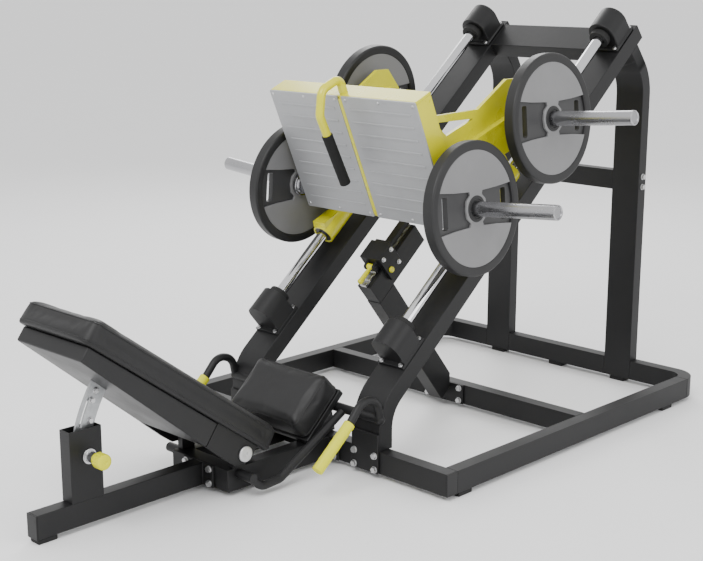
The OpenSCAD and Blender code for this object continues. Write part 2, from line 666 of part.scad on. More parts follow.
module stop_tongue() color(black) on_slope()
  block([-15, block_s + block_l + block_pad + stop_gap, -cross_h / 2], [15, crossbar_s[0], -4]);
module pin(place, face, inner_x) {
  reach = (inner_x - face) / cos(pin_tilt);
  tip = (plate_x - face) / cos(pin_tilt) + plate_t + pin_free;
  intersection() {
    on_pin(place, face) rod_x(-20, reach - collar_t, 34);
    block([face, -2000, 0], [2000, 2000, 3000]);
  }
  on_pin(place, face) {
    rod_x(reach - collar_t, reach, collar_r);
    rod_x(reach, tip - pin_tip, pin_d / 2);
    translate([tip - pin_tip, 0, 0]) rotate([0, 90, 0])
      cylinder(h = pin_tip, r1 = pin_d / 2, r2 = pin_d / 2 - pin_tip);
  }
}
module pins(inner_x) {
  pin(pin_low, pin_face_low, inner_x);
  pin(pin_high, pin_face_high, inner_x);
}
module pins_near() color(steel) pins(plate_x);
module pins_far() color(steel) far_side() pins(far_plate_x);

// weight plate with two hand slots and a raised rim
rim_w = 30;
face_in = 3;
hub_r = 44;
side_gap = 0.3;                         // gap between a plate and its collar
module plate(place, face, inner_x) on_pin(place, face)
  translate([(inner_x - face) / cos(pin_tilt) + side_gap, 0, 0]) difference() {
    rod_x(0, plate_t - side_gap, plate_d / 2);
    difference() {
      rod_x(plate_t - face_in, plate_t + 1, plate_d / 2 - rim_w);
      rod_x(0, plate_t + 1, hub_r);
    }
    rod_x(-1, plate_t + 1, pin_d / 2 + plate_gap);
    for (side = [-1, 1])
      translate([0, side * slot_x, 0]) block([-1, -slot_w / 2, -slot_l / 2], [plate_t + 1, slot_w / 2, slot_l / 2]);
  }
module plate_near_low() color([0.2, 0.2, 0.21]) plate(pin_low, pin_face_low, plate_x);
module plate_near_high() color([0.2, 0.2, 0.21]) plate(pin_high, pin_face_high, plate_x);
module plate_far_low() color([0.2, 0.2, 0.21]) far_side() plate(pin_low, pin_face_low, far_plate_x);
module plate_far_high() color([0.2, 0.2, 0.21]) far_side() plate(pin_high, pin_face_high, far_plate_x);

// pull hook over the top edge of the footplate, with its grip
hook_d = 30;
hook_points = [[foot_d - 54, foot_l + 0.2], [foot_d - 54, foot_l + 54], [-62, foot_l + 54], [-104, foot_l - 20],
               [-88, foot_l - 284]];
grip_from = 74;                         // distance down the front leg to the grip
hook_grip_l = 196;
leg_way = unit(hook_points[4] - hook_points[3]);
module pull_hook() color(lime) on_foot() bent_tube(hook_points, 40, hook_d);
module hook_grip() color([0.06, 0.06, 0.06]) on_foot()
  translate([0, hook_points[3][0] + leg_way[0] * grip_from, hook_points[3][1] + leg_way[1] * grip_from])
    rotate([atan2(leg_way[1], leg_way[0]), 0, 0]) difference() {
      rod_s(0, hook_grip_l, hook_d / 2 + 4);
      rod_s(-1, hook_grip_l + 1, hook_d / 2);
    }

// ---------- backrest ----------
shell_w = pad_w - 38;
module back_pad() color([0.12, 0.12, 0.12]) on_back() translate([0, back_end, back_top])
  pad_block(pad_w, back_l, back_t);
shell_top = back_top - back_t;
shell_head = back_end - back_l + 34;
shell_wall = 6;
module back_shell() color([0.09, 0.09, 0.09]) on_back() difference() {
  profile_x([[shell_head, shell_top], [shell_head, -8], [shell_end, -42], [shell_end, shell_top]],
            -shell_w / 2, shell_w / 2);
  profile_x([[shell_head + shell_wall, shell_top - shell_wall], [shell_head + shell_wall, -8 + shell_wall],
             [shell_end - shell_wall, -42 + shell_wall], [shell_end - shell_wall, shell_top - shell_wall]],
            -shell_w / 2 + shell_wall, shell_w / 2 - shell_wall);
}
module back_hinge_plates() color(black) on_back() both_sides() difference() {
  profile_x([[shell_end, shell_top], [shell_end, -42], [-60, -48], [-15, -48], [35, -15], [35, shell_top]],
            hinge_x, hinge_x + hinge_t);
  rod_x(0, hinge_x + 50, pivot_d / 2);
}
module pivot_shaft() color(steel) on_back() {
  rod_x(-hinge_x - hinge_t, hinge_x + hinge_t, pivot_d / 2);
  both_sides() rod_x(hinge_x + hinge_t, hinge_x + hinge_t + 9, 26.5);
}
// arc plate about the pivot, with the pop pin's track and a sight slot
function polar(r, a) = [-r * cos(a), r * sin(a)];
module arc_slot(r, half, a0, a1) intersection() {
  difference() {
    circle(r = r + half);
    circle(r = r - half);
  }
  polygon([[0, 0], polar(2 * r, a0), polar(2 * r, a1)]);
}
module quad_plate() translate([0, pivot_y, pivot_z]) rotate([90, 0, 90]) translate([0, 0, -quad_t / 2])
  linear_extrude(quad_t) difference() {
    intersection() {
      difference() {
        circle(r = quad_out);
        circle(r = quad_in);
      }
      polygon([[0, 0], polar(900, -1.5), polar(900, 38)]);
    }
    arc_slot(track_r, pop_d / 2 + track_gap, pop_a - 9.5, pop_a + 5.5);
    for (a = [-8:4:4]) translate(polar(track_r, pop_a + a)) circle(r = pop_d / 2 + 2.5);
    arc_slot(quad_out - 16, 4, 19, 29);
  }
module quadrant() color(steel) difference() {
  from_front() quad_plate();
  on_back() profile_x([[shell_head, 400], [shell_head, -8], [shell_end, -42], [shell_end, 400]], -50, 50);
}

front_rail();
cross_rails();
side_rail_near();
side_rail_far();
rear_corner_near();
rear_corner_far();
rail_feet();
beam_near();
beam_far();
post_near();
post_far();
top_crossbeam();
mid_crossbeam();
rod_near();
rod_far();
lower_clamps();
upper_clamps();
rod_buffers();
beam_foot_plates();
stop_column();
stop_rack();
head_beam();
head_post();
pop_pin_housing();
seat_base();
pivot_lugs();
seat_tubes();
seat_board();
seat_pad();
handle_near();
handle_far();
handle_grips();
frame_bolts();
end_caps();
foot_frame_ends();
foot_frame_sides();
foot_panel_near();
foot_panel_far();
arm_near();
arm_far();
sleeves();
guide_bushes();
carriage_crossbars();
stop_tongue();
pins_near();
pins_far();
pull_hook();
hook_grip();
plate_near_low();
plate_near_high();
plate_far_low();
plate_far_high();
stop_block();
stop_lever();
back_pad();
back_shell();
back_hinge_plates();
pivot_shaft();
quadrant();
pop_pin();
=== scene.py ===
import json
import math
import bmesh
import bpy
from mathutils import Matrix, Vector
from mathutils.bvhtree import BVHTree
from mathutils.kdtree import KDTree


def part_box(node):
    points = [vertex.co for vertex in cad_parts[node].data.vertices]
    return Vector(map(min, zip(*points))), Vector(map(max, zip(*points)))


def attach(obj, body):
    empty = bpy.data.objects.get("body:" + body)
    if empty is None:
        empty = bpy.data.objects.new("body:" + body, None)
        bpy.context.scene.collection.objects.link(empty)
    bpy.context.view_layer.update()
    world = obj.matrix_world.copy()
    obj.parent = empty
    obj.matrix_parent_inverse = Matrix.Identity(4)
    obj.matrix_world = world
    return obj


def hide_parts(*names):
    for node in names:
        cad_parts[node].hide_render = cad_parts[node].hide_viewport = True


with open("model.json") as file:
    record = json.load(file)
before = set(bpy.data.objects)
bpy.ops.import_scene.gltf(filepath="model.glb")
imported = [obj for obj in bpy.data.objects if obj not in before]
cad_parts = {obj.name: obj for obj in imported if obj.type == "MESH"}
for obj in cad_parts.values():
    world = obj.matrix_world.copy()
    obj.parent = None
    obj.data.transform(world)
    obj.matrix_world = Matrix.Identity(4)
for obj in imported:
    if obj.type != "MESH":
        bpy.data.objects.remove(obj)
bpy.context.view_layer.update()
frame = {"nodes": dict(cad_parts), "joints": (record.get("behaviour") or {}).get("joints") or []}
scene = bpy.context.scene
print("frame loaded")

# places, from the frame
joints = {j["name"]: j for j in frame["joints"]}
slideWay = Vector(joints["carriage_slide"]["axis"]).normalized()
rake = math.atan2(slideWay.z, slideWay.y)
pivot = Vector(joints["backrest_recline"]["pos_m"])


def middle(node):
    low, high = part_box(node)
    return (Vector(low) + Vector(high)) / 2


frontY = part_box("front_rail")[0][1]
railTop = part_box("front_rail")[1][2]
rodMid = middle("rod_near")
beamX = rodMid.x
rodZ = rodMid.z - (rodMid.y - frontY) * math.tan(rake)


def onSlope(x=0.0, s=0.0, t=0.0):
    place = Matrix.Translation((x, frontY + s * math.cos(rake) - t * math.sin(rake),
                                rodZ + s * math.sin(rake) + t * math.cos(rake)))
    return place @ Matrix.Rotation(rake, 4, "X")


def tilted(place, angle):
    return Matrix.Translation(place) @ Matrix.Rotation(angle, 4, "X")


# angles in degrees, distances in metres from the front rail or along the slope
stand = {"footLean": 16.5, "footAlong": 0.574, "footAbove": 0.108, "backTilt": -36.3, "seatTilt": 43,
         "seatBack": -0.045, "seatRise": 0.243}
seatAngle = math.radians(stand["seatTilt"])
footPlace = tilted(onSlope(0, stand["footAlong"], stand["footAbove"]).translation,
                   rake - math.radians(stand["footLean"]))
backPlace = tilted(pivot, math.radians(stand["backTilt"]))
seatPlace = tilted((0, frontY + stand["seatBack"], railTop + stand["seatRise"]), seatAngle)


# shader groups
def newGroup(name, inputs, outputs):
    group = bpy.data.node_groups.new(name, "ShaderNodeTree")
    for label, kind, value in inputs:
        item = group.interface.new_socket(name=label, in_out="INPUT", socket_type=kind)
        if value is not None:
            item.default_value = value
    for label, kind in outputs:
        group.interface.new_socket(name=label, in_out="OUTPUT", socket_type=kind)
    return group, group.nodes.new("NodeGroupInput"), group.nodes.new("NodeGroupOutput")


def mathNode(nodes, operation, clamp=False):
    node = nodes.new("ShaderNodeMath")
    node.operation = operation
    node.use_clamp = clamp
    return node


def rampNode(nodes, low, high):
    node = nodes.new("ShaderNodeMapRange")
    node.inputs["From Min"].default_value = low
    node.inputs["From Max"].default_value = high
    return node


def spreadNode(nodes, low, high):
    node = nodes.new("ShaderNodeMapRange")
    node.inputs["To Min"].default_value = low
    node.inputs["To Max"].default_value = high
    return node


def mixNode(nodes, second, first=None):
    node = nodes.new("ShaderNodeMix")
    node.data_type = "RGBA"
    if first is not None:
        node.inputs["A"].default_value = (*first, 1)
    node.inputs["B"].default_value = (*second, 1)
    return node


def bumpNode(nodes, strength, depth):
    node = nodes.new("ShaderNodeBump")
    node.inputs["Strength"].default_value = strength
    node.inputs["Distance"].default_value = depth
    return node


def noiseNode(nodes, scale, detail=4.0, rough=0.5):
    node = nodes.new("ShaderNodeTexNoise")
    node.inputs["Scale"].default_value = scale
    node.inputs["Detail"].default_value = detail
    node.inputs["Roughness"].default_value = rough
    return node


wearLook = {"edgeSamples": 4, "edgeRadius": 0.0025, "edgeAmount": 0.4, "dustTint": (0.30, 0.29, 0.27),
            "coatRough": 0.12}


def makeGrainGroup():
    inputs = [("Vector", "NodeSocketVector", None), ("Scale", "NodeSocketFloat", 400.0),
              ("Patch Scale", "NodeSocketFloat", 6.0)]
    outputs = [("Height", "NodeSocketFloat"), ("Patch", "NodeSocketFloat")]
    group, given, out = newGroup("grain", inputs, outputs)
    n, link = group.nodes, group.links.new
    fine = noiseNode(n, 1.0, 3.0, 0.55)
    patch = noiseNode(n, 1.0, 5.0, 0.6)
    soft = rampNode(n, 0.3, 0.7)
    link(given.outputs["Vector"], fine.inputs["Vector"])
    link(given.outputs["Vector"], patch.inputs["Vector"])
    link(given.outputs["Scale"], fine.inputs["Scale"])
    link(given.outputs["Patch Scale"], patch.inputs["Scale"])
    link(patch.outputs["Fac"], soft.inputs["Value"])
    link(fine.outputs["Fac"], out.inputs["Height"])
    link(soft.outputs["Result"], out.inputs["Patch"])
    return group


def makeDustGroup():
    inputs = [("Vector", "NodeSocketVector", None), ("Amount", "NodeSocketFloat", 0.2)]
    group, given, out = newGroup("dust", inputs, [("Mask", "NodeSocketFloat")])
    n, link = group.nodes, group.links.new
    geometry = n.new("ShaderNodeNewGeometry")
    split = n.new("ShaderNodeSeparateXYZ")
    facing = rampNode(n, 0.3, 1.0)
    speck = noiseNode(n, 38.0, 6.0, 0.7)
    broken = rampNode(n, 0.42, 0.78)
    both = mathNode(n, "MULTIPLY")
    scaled = mathNode(n, "MULTIPLY", clamp=True)
    link(geometry.outputs["Normal"], split.inputs["Vector"])
    link(split.outputs["Z"], facing.inputs["Value"])
    link(given.outputs["Vector"], speck.inputs["Vector"])
    link(speck.outputs["Fac"], broken.inputs["Value"])
    link(facing.outputs["Result"], both.inputs[0])
    link(broken.outputs["Result"], both.inputs[1])
    link(both.outputs["Value"], scaled.inputs[0])
    link(given.outputs["Amount"], scaled.inputs[1])
    link(scaled.outputs["Value"], out.inputs["Mask"])
    return group


def makeScratchGroup():
    inputs = [("Vector", "NodeSocketVector", None), ("Scale", "NodeSocketFloat", 60.0),
              ("Amount", "NodeSocketFloat", 0.3)]
    group, given, out = newGroup("scratch", inputs, [("Mask", "NodeSocketFloat")])
    n, link = group.nodes, group.links.new
    warp = n.new("ShaderNodeMapping")
    warp.inputs["Scale"].default_value = (1.0, 7.0, 2.4)
    warp.inputs["Rotation"].default_value = (0.5, 0.3, 0.7)
    lines = noiseNode(n, 60.0, 2.0, 0.4)
    cut = rampNode(n, 0.63, 0.70)
    scaled = mathNode(n, "MULTIPLY", clamp=True)
    link(given.outputs["Vector"], warp.inputs["Vector"])
    link(warp.outputs["Vector"], lines.inputs["Vector"])
    link(given.outputs["Scale"], lines.inputs["Scale"])
    link(lines.outputs["Fac"], cut.inputs["Value"])
    link(cut.outputs["Result"], scaled.inputs[0])
    link(given.outputs["Amount"], scaled.inputs[1])
    link(scaled.outputs["Value"], out.inputs["Mask"])
    return group


def makeEdgeGroup():
    inputs = [("Vector", "NodeSocketVector", None), ("Amount", "NodeSocketFloat", 0.5)]
    group, given, out = newGroup("edgeWear", inputs, [("Mask", "NodeSocketFloat")])
    n, link = group.nodes, group.links.new
    geometry = n.new("ShaderNodeNewGeometry")
    rounded = n.new("ShaderNodeBevel")
    rounded.samples = wearLook["edgeSamples"]
    rounded.inputs["Radius"].default_value = wearLook["edgeRadius"]
    meet = n.new("ShaderNodeVectorMath")
    meet.operation = "DOT_PRODUCT"
    rim = rampNode(n, 0.985, 0.90)
    chipped = noiseNode(n, 55.0, 5.0, 0.7)
    broken = rampNode(n, 0.35, 0.65)
    both = mathNode(n, "MULTIPLY")
    scaled = mathNode(n, "MULTIPLY", clamp=True)
    link(geometry.outputs["Normal"], meet.inputs[0])
    link(rounded.outputs["Normal"], meet.inputs[1])
    link(meet.outputs["Value"], rim.inputs["Value"])
    link(given.outputs["Vector"], chipped.inputs["Vector"])
    link(chipped.outputs["Fac"], broken.inputs["Value"])
    link(rim.outputs["Result"], both.inputs[0])
    link(broken.outputs["Result"], both.inputs[1])
    link(both.outputs["Value"], scaled.inputs[0])
    link(given.outputs["Amount"], scaled.inputs[1])
    link(scaled.outputs["Value"], out.inputs["Mask"])
    return group


groups = {"grain": makeGrainGroup(), "dust": makeDustGroup(), "scratch": makeScratchGroup(),
          "edge": makeEdgeGroup()}


def groupNode(nodes, name, vector, link, **values):
    node = nodes.new("ShaderNodeGroup")
    node.node_tree = groups[name]
    for label, value in values.items():
        node.inputs[label.replace("_", " ")].default_value = value
    link(vector, node.inputs["Vector"])
    return node


finishes = {
    "powderBlack": dict(base=(0.0065, 0.0065, 0.007), tone=(0.0105, 0.0105, 0.011), rough=(0.40, 0.50),
                        metal=0.0, shine=0.30, grain=650, bump=0.14, depth=0.0004, dust=0.015,
                        scratch=0.05,
                        edge=(0.05, 0.05, 0.052)),  "limePaint": dict(base=(0.58, 0.55, 0.002),
                        tone=(0.66, 0.62, 0.004), rough=(0.24, 0.34), metal=0.0, shine=0.5, grain=420,
                        bump=0.06, depth=0.0004, dust=0.02, scratch=0.05, coat=0.2,
                        edge=(0.75, 0.72, 0.06)),  "chrome": dict(base=(0.60, 0.60, 0.62),
                        tone=(0.68, 0.68, 0.69), rough=(0.08, 0.15), metal=1.0, shine=0.5, grain=900,
                        bump=0.02, depth=0.0002, dust=0.0, scratch=0.03,
                        edge=(0.8, 0.8, 0.8)),  "turned": dict(base=(0.36, 0.36, 0.375),
                        tone=(0.42, 0.42, 0.43), rough=(0.24, 0.30), metal=1.0, shine=0.5, grain=900,
                        bump=0.01, depth=0.0001, dust=0.0, scratch=0.02,
                        edge=(0.75, 0.75, 0.75)),  "zinc": dict(base=(0.52, 0.52, 0.53),
                        tone=(0.66, 0.66, 0.66), rough=(0.24, 0.40), metal=1.0, shine=0.5, grain=500,
                        bump=0.08, depth=0.0003, dust=0.02, scratch=0.2,
                        edge=(0.8, 0.8, 0.8)),  "galvanised": dict(base=(0.36, 0.37, 0.38),
                        tone=(0.52, 0.53, 0.54), rough=(0.30, 0.5), metal=0.9, shine=0.5, grain=180,
                        bump=0.12, depth=0.0003, dust=0.02, scratch=0.15, patch=45,
                        edge=(0.7, 0.7, 0.7)),  "footAluminium": dict(base=(0.33, 0.335, 0.345),
                        tone=(0.39, 0.395, 0.405), rough=(0.42, 0.55), metal=0.35, shine=0.4, grain=520,
                        bump=0.10, depth=0.0003, dust=0.02, scratch=0.1,
                        edge=(0.65, 0.65, 0.66)),  "plateGrey": dict(base=(0.17, 0.17, 0.173),
                        tone=(0.20, 0.20, 0.203), rough=(0.40, 0.52), metal=0.0, shine=0.35, grain=520,
                        bump=0.16, depth=0.0005, dust=0.03, scratch=0.06,
                        edge=(0.3, 0.3, 0.3)),  "plateDark": dict(base=(0.012, 0.012, 0.0125),
                        tone=(0.019, 0.019, 0.0195), rough=(0.40, 0.52), metal=0.0, shine=0.35, grain=460,
                        bump=0.18, depth=0.0005, dust=0.03, scratch=0.05,
                        edge=(0.07, 0.07, 0.07)),  "plateWeb": dict(base=(0.030, 0.030, 0.031),
                        tone=(0.042, 0.042, 0.043), rough=(0.36, 0.48), metal=0.0, shine=0.4, grain=460,
                        bump=0.18, depth=0.0005, dust=0.03, scratch=0.05,
                        edge=(0.1, 0.1, 0.1)),  "rubber": dict(base=(0.008, 0.008, 0.008),
                        tone=(0.014, 0.014, 0.014), rough=(0.6, 0.75), metal=0.0, shine=0.3, grain=380,
                        bump=0.2, depth=0.0005, dust=0.05, scratch=0.03,
                        edge=(0.05, 0.05, 0.05)),  "plastic": dict(base=(0.006, 0.006, 0.0065),
                        tone=(0.010, 0.010, 0.0105), rough=(0.36, 0.48), metal=0.0, shine=0.35, grain=300,
                        bump=0.16, depth=0.0005, dust=0.02, scratch=0.04,
                        edge=(0.05, 0.05, 0.05)),  "foam": dict(base=(0.006, 0.006, 0.006),
                        tone=(0.011, 0.011, 0.011), rough=(0.7, 0.85), metal=0.0, shine=0.3, grain=240,
                        bump=0.35, depth=0.0008, dust=0.02, scratch=0.0,
                        edge=(0.04, 0.04, 0.04)),  "limeGrip": dict(base=(0.60, 0.60, 0.002),
                        tone=(0.66, 0.65, 0.004), rough=(0.42, 0.55), metal=0.0, shine=0.4, grain=260,
                        bump=0.16, depth=0.0005, dust=0.02, scratch=0.02, edge=(0.75, 0.73, 0.08)),
}


def makeFinish(name, spec):
    material = bpy.data.materials.new(name)
    material.use_nodes = True
    n, link = material.node_tree.nodes, material.node_tree.links.new
    shader = n["Principled BSDF"]
    spot = n.new("ShaderNodeTexCoord").outputs["Object"]
    grain = groupNode(n, "grain", spot, link, Scale=spec["grain"], Patch_Scale=spec.get("patch", 5.0))
    dust = groupNode(n, "dust", spot, link, Amount=spec["dust"])
    scratch = groupNode(n, "scratch", spot, link, Amount=spec["scratch"])
    edge = groupNode(n, "edge", spot, link, Amount=wearLook["edgeAmount"])
    toned = mixNode(n, spec["tone"], spec["base"])
    link(grain.outputs["Patch"], toned.inputs["Factor"])
    edged = mixNode(n, spec["edge"])
    link(edge.outputs["Mask"], edged.inputs["Factor"])
    link(toned.outputs["Result"], edged.inputs["A"])
    dusty = mixNode(n, wearLook["dustTint"])
    link(dust.outputs["Mask"], dusty.inputs["Factor"])
    link(edged.outputs["Result"], dusty.inputs["A"])
    link(dusty.outputs["Result"], shader.inputs["Base Color"])
    rough = spreadNode(n, *spec["rough"])
    link(grain.outputs["Patch"], rough.inputs["Value"])
    worn = mathNode(n, "ADD", clamp=True)
    link(rough.outputs["Result"], worn.inputs[0])
    link(scratch.outputs["Mask"], worn.inputs[1])
    link(worn.outputs["Value"], shader.inputs["Roughness"])
    shader.inputs["Metallic"].default_value = spec["metal"]
    shader.inputs["Specular IOR Level"].default_value = spec["shine"]
    shader.inputs["Coat Weight"].default_value = spec.get("coat", 0.0)
    shader.inputs["Coat Roughness"].default_value = wearLook["coatRough"]
    bump = bumpNode(n, spec["bump"], spec["depth"])
    link(grain.outputs["Height"], bump.inputs["Height"])
    link(bump.outputs["Normal"], shader.inputs["Normal"])
    return material


finish = {name: makeFinish(name, spec) for name, spec in finishes.items()}

vinylLook = {"base": (0.0065, 0.0065, 0.0068), "tone": (0.0105, 0.0105, 0.011), "cells": 330.0,
             "pore": 0.22, "crease": 26.0, "grain": 900.0, "patch": 7.0, "dust": 0.015,
             "dustTint": (0.26, 0.25, 0.24), "rough": (0.40, 0.54), "sheen": 0.02, "shine": 0.34,
             "creaseBump": 0.25, "creaseDepth": 0.0015, "poreBump": 0.35, "poreDepth": 0.0003}


def makeVinyl(look):
    material = bpy.data.materials.new("vinyl")
    material.use_nodes = True
    n, link = material.node_tree.nodes, material.node_tree.links.new
    shader = n["Principled BSDF"]
    spot = n.new("ShaderNodeTexCoord").outputs["Object"]
    cells = n.new("ShaderNodeTexVoronoi")
    cells.feature = "DISTANCE_TO_EDGE"
    cells.inputs["Scale"].default_value = look["cells"]
    pore = rampNode(n, 0.0, look["pore"])
    crease = noiseNode(n, look["crease"], 5.0, 0.6)
    for node in (cells, crease):
        link(spot, node.inputs["Vector"])
    grain = groupNode(n, "grain", spot, link, Scale=look["grain"], Patch_Scale=look["patch"])
    dust = groupNode(n, "dust", spot, link, Amount=look["dust"])
    link(cells.outputs["Distance"], pore.inputs["Value"])
    toned = mixNode(n, look["tone"], look["base"])
    link(grain.outputs["Patch"], toned.inputs["Factor"])
    dusty = mixNode(n, look["dustTint"])
    link(toned.outputs["Result"], dusty.inputs["A"])
    link(dust.outputs["Mask"], dusty.inputs["Factor"])
    link(dusty.outputs["Result"], shader.inputs["Base Color"])
    rough = spreadNode(n, *look["rough"])
    link(crease.outputs["Fac"], rough.inputs["Value"])
    link(rough.outputs["Result"], shader.inputs["Roughness"])
    shader.inputs["Sheen Weight"].default_value = look["sheen"]
    shader.inputs["Specular IOR Level"].default_value = look["shine"]
    soft = bumpNode(n, look["creaseBump"], look["creaseDepth"])
    link(crease.outputs["Fac"], soft.inputs["Height"])
    leather = bumpNode(n, look["poreBump"], look["poreDepth"])
    link(pore.outputs["Result"], leather.inputs["Height"])
    link(soft.outputs["Normal"], leather.inputs["Normal"])
    link(leather.outputs["Normal"], shader.inputs["Normal"])
    return material


finish["vinyl"] = makeVinyl(vinylLook)
print("materials made")


# shape helpers
def meshObject(name, bm):
    mesh = bpy.data.meshes.new(name)
    bm.to_mesh(mesh)
    bm.free()
    obj = bpy.data.objects.new(name, mesh)
    scene.collection.objects.link(obj)
    return obj


def edgesOf(verts):
    return list({e for v in verts for e in v.link_edges})


def roundEdges(bm, edges, width, segments, clamp=False):
    bmesh.ops.bevel(bm, geom=edges, offset=width, segments=segments, profile=0.5, affect="EDGES",
                    material=-1, clamp_overlap=clamp)


def addPiece(name, bm, body, look, nodes=(), flip=True, sharp=32.0):
    bmesh.ops.remove_doubles(bm, verts=bm.verts, dist=0.000005)
    if flip:
        bmesh.ops.recalc_face_normals(bm, faces=bm.faces)
    obj = meshObject(name, bm)
    mesh = obj.data
    mesh.materials.append(finish[look])
    for face in mesh.polygons:
        face.use_smooth = True
    mesh.set_sharp_from_angle(angle=math.radians(sharp))
    shade = obj.modifiers.new("shade", "WEIGHTED_NORMAL")
    shade.keep_sharp = True
    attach(obj, body)
    if nodes:
        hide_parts(*nodes)
    return obj


weldGap = 0.00006


# drops pairs of facing walls that a weld gap has left inside a copy
def closeWelds(bm):
    bm.verts.ensure_lookup_table()
    bm.normal_update()
    tree = KDTree(len(bm.verts))
    for v in bm.verts:
        tree.insert(v.co, v.index)
    tree.balance()
    across = {}
    for v in bm.verts:
        others = [co for co, index, far in tree.find_range(v.co, weldGap) if index != v.index]
        if others:
            across[v] = (others[0] - v.co).normalized()
    hidden = [f for f in bm.faces
              if all(v in across and abs(across[v].dot(f.normal)) > 0.7 for v in f.verts)]
    if hidden:
        bmesh.ops.delete(bm, geom=hidden, context="FACES_ONLY")
        bmesh.ops.remove_doubles(bm, verts=bm.verts, dist=weldGap)


def softCopy(node, body, look, width=0.0025, segments=2, angle=28.0, name=None):
    bm = bmesh.new()
    bm.from_mesh(frame["nodes"][node].data)
    bmesh.ops.remove_doubles(bm, verts=bm.verts, dist=0.00001)
    closeWelds(bm)
    bmesh.ops.dissolve_limit(bm, angle_limit=math.radians(1.0), verts=bm.verts, edges=bm.edges)
    edges = [e for e in bm.edges if len(e.link_faces) == 2 and e.calc_face_angle(0) > math.radians(angle)]
    roundEdges(bm, edges, width, segments, clamp=True)
    return addPiece(name or node + "Soft", bm, body, look, [node], flip=False, sharp=50)


def spinInto(bm, profile, place, steps=48):
    old = set(bm.verts)
    made = [bm.verts.new((x, r, 0)) for x, r in profile]
    edges = [bm.edges.new(pair) for pair in zip(made, made[1:])]
    bmesh.ops.spin(bm, geom=made + edges, cent=(0, 0, 0), axis=(1, 0, 0), angle=2 * math.pi, steps=steps,
                   use_merge=True)
    fresh = [v for v in bm.verts if v not in old]
    bmesh.ops.transform(bm, matrix=place, verts=fresh)
    return fresh


def arcProfile(cx, cr, radius, a0, a1, steps=4):
    return [(cx + radius * math.cos(math.radians(a0 + (a1 - a0) * i / steps)),
             cr + radius * math.sin(math.radians(a0 + (a1 - a0) * i / steps))) for i in range(steps + 1)]


def roundedPath(points, radius, steps=10):
    points = [Vector(p) for p in points]
    out = [points[0]]
    for i in range(1, len(points) - 1):
        into = (points[i] - points[i - 1]).normalized()
        away = (points[i + 1] - points[i]).normalized()
        turn = into.angle(away)
        if turn < 0.01:
            out.append(points[i])
            continue
        cut = min(radius * math.tan(turn / 2), (points[i] - points[i - 1]).length * 0.48,
                  (points[i + 1] - points[i]).length * 0.48)
        start, end = points[i] - into * cut, points[i] + away * cut
        real = cut / math.tan(turn / 2)
        centre = start + (away - into * into.dot(away)).normalized() * real
        axis = into.cross(away).normalized()
        for k in range(steps + 1):
            out.append(centre + Matrix.Rotation(turn * k / steps, 3, axis) @ (start - centre))
    out.append(points[-1])
    return out


def curveMesh(points, flat=False, cyclic=False, **settings):
    curve = bpy.data.curves.new("path", "CURVE")
    curve.dimensions = "2D" if flat else "3D"
    for name, value in settings.items():
        setattr(curve, name, value)
    for run in points:
        spline = curve.splines.new("POLY")
        spline.points.add(len(run) - 1)
        for point, place in zip(spline.points, run):
            point.co = (place[0], place[1], 0 if flat else place[2], 1)
        spline.use_cyclic_u = cyclic or flat
    maker = bpy.data.objects.new("maker", curve)
    scene.collection.objects.link(maker)
    mesh = bpy.data.meshes.new_from_object(maker.evaluated_get(bpy.context.evaluated_depsgraph_get()))
    bpy.data.objects.remove(maker)
    return mesh


def tubeInto(bm, path, radius, detail=12, cyclic=False):
    mesh = curveMesh([path], cyclic=cyclic, bevel_depth=radius, bevel_resolution=detail,
                     use_fill_caps=not cyclic)
    bm.from_mesh(mesh)
    bpy.data.meshes.remove(mesh)


def axisMatrix(place, way):
    way = Vector(way).normalized()
    turn = Vector((1, 0, 0)).rotation_difference(way).to_matrix().to_4x4()
    return Matrix.Translation(place) @ turn


def boltInto(bm, place, way, r=0.011):
    m = axisMatrix(place, way)
    spinInto(bm, [(0, 0), (0, r * 1.28), (r * 0.16, r * 1.28), (r * 0.24, r * 1.2), (r * 0.24, 0)], m, 24)
    upright = m @ Matrix.Translation((r * 0.6, 0, 0)) @ Matrix.Rotation(math.pi / 2, 4, "Y")
    head = bmesh.ops.create_cone(bm, cap_ends=True, segments=6, radius1=r, radius2=r, depth=r * 0.72,
                                 matrix=upright)
    roundEdges(bm, edgesOf(head["verts"]), r * 0.1, 2)


def screwInto(bm, place, way, r=0.006):
    m = axisMatrix(place, way)
    dome = [(0, r)] + [(r * 0.45 * math.sin(math.radians(a)), r * math.cos(math.radians(a)))
                       for a in (25, 50, 68)]
    spinInto(bm, [(0, 0)] + dome + [(r * 0.42, r * 0.33), (r * 0.15, r * 0.30), (r * 0.15, 0)], m, 20)


def flatShape(name, outlines, depth, bevel, matrix, body, look, nodes=()):
    mesh = curveMesh(outlines, flat=True, fill_mode="BOTH", extrude=depth / 2 - bevel, bevel_depth=bevel,
                     bevel_resolution=2, offset=-bevel)
    mesh.transform(matrix)
    bm = bmesh.new()
    bm.from_mesh(mesh)
    bpy.data.meshes.remove(mesh)
    return addPiece(name, bm, body, look, nodes, sharp=50)


def ringOutline(r, steps=96, cx=0.0, cy=0.0):
    return [(cx + r * math.cos(2 * math.pi * i / steps), cy + r * math.sin(2 * math.pi * i / steps))
            for i in range(steps)]


def roundPolygon(corners, radius, steps=5):
    out = []
    count = len(corners)
    for i in range(count):
        p = Vector(corners[i])
        a, b = Vector(corners[i - 1]), Vector(corners[(i + 1) % count])
        into, away = (p - a).normalized(), (b - p).normalized()
        turn = into.angle(away)
        cut = min(radius * math.tan(turn / 2), (p - a).length * 0.45, (b - p).length * 0.45)
        start, end = p - into * cut, p + away * cut
        for k in range(steps + 1):
            f = k / steps
            out.append(tuple(start.lerp(p, f).lerp(p.lerp(end, f), f)))
    return out


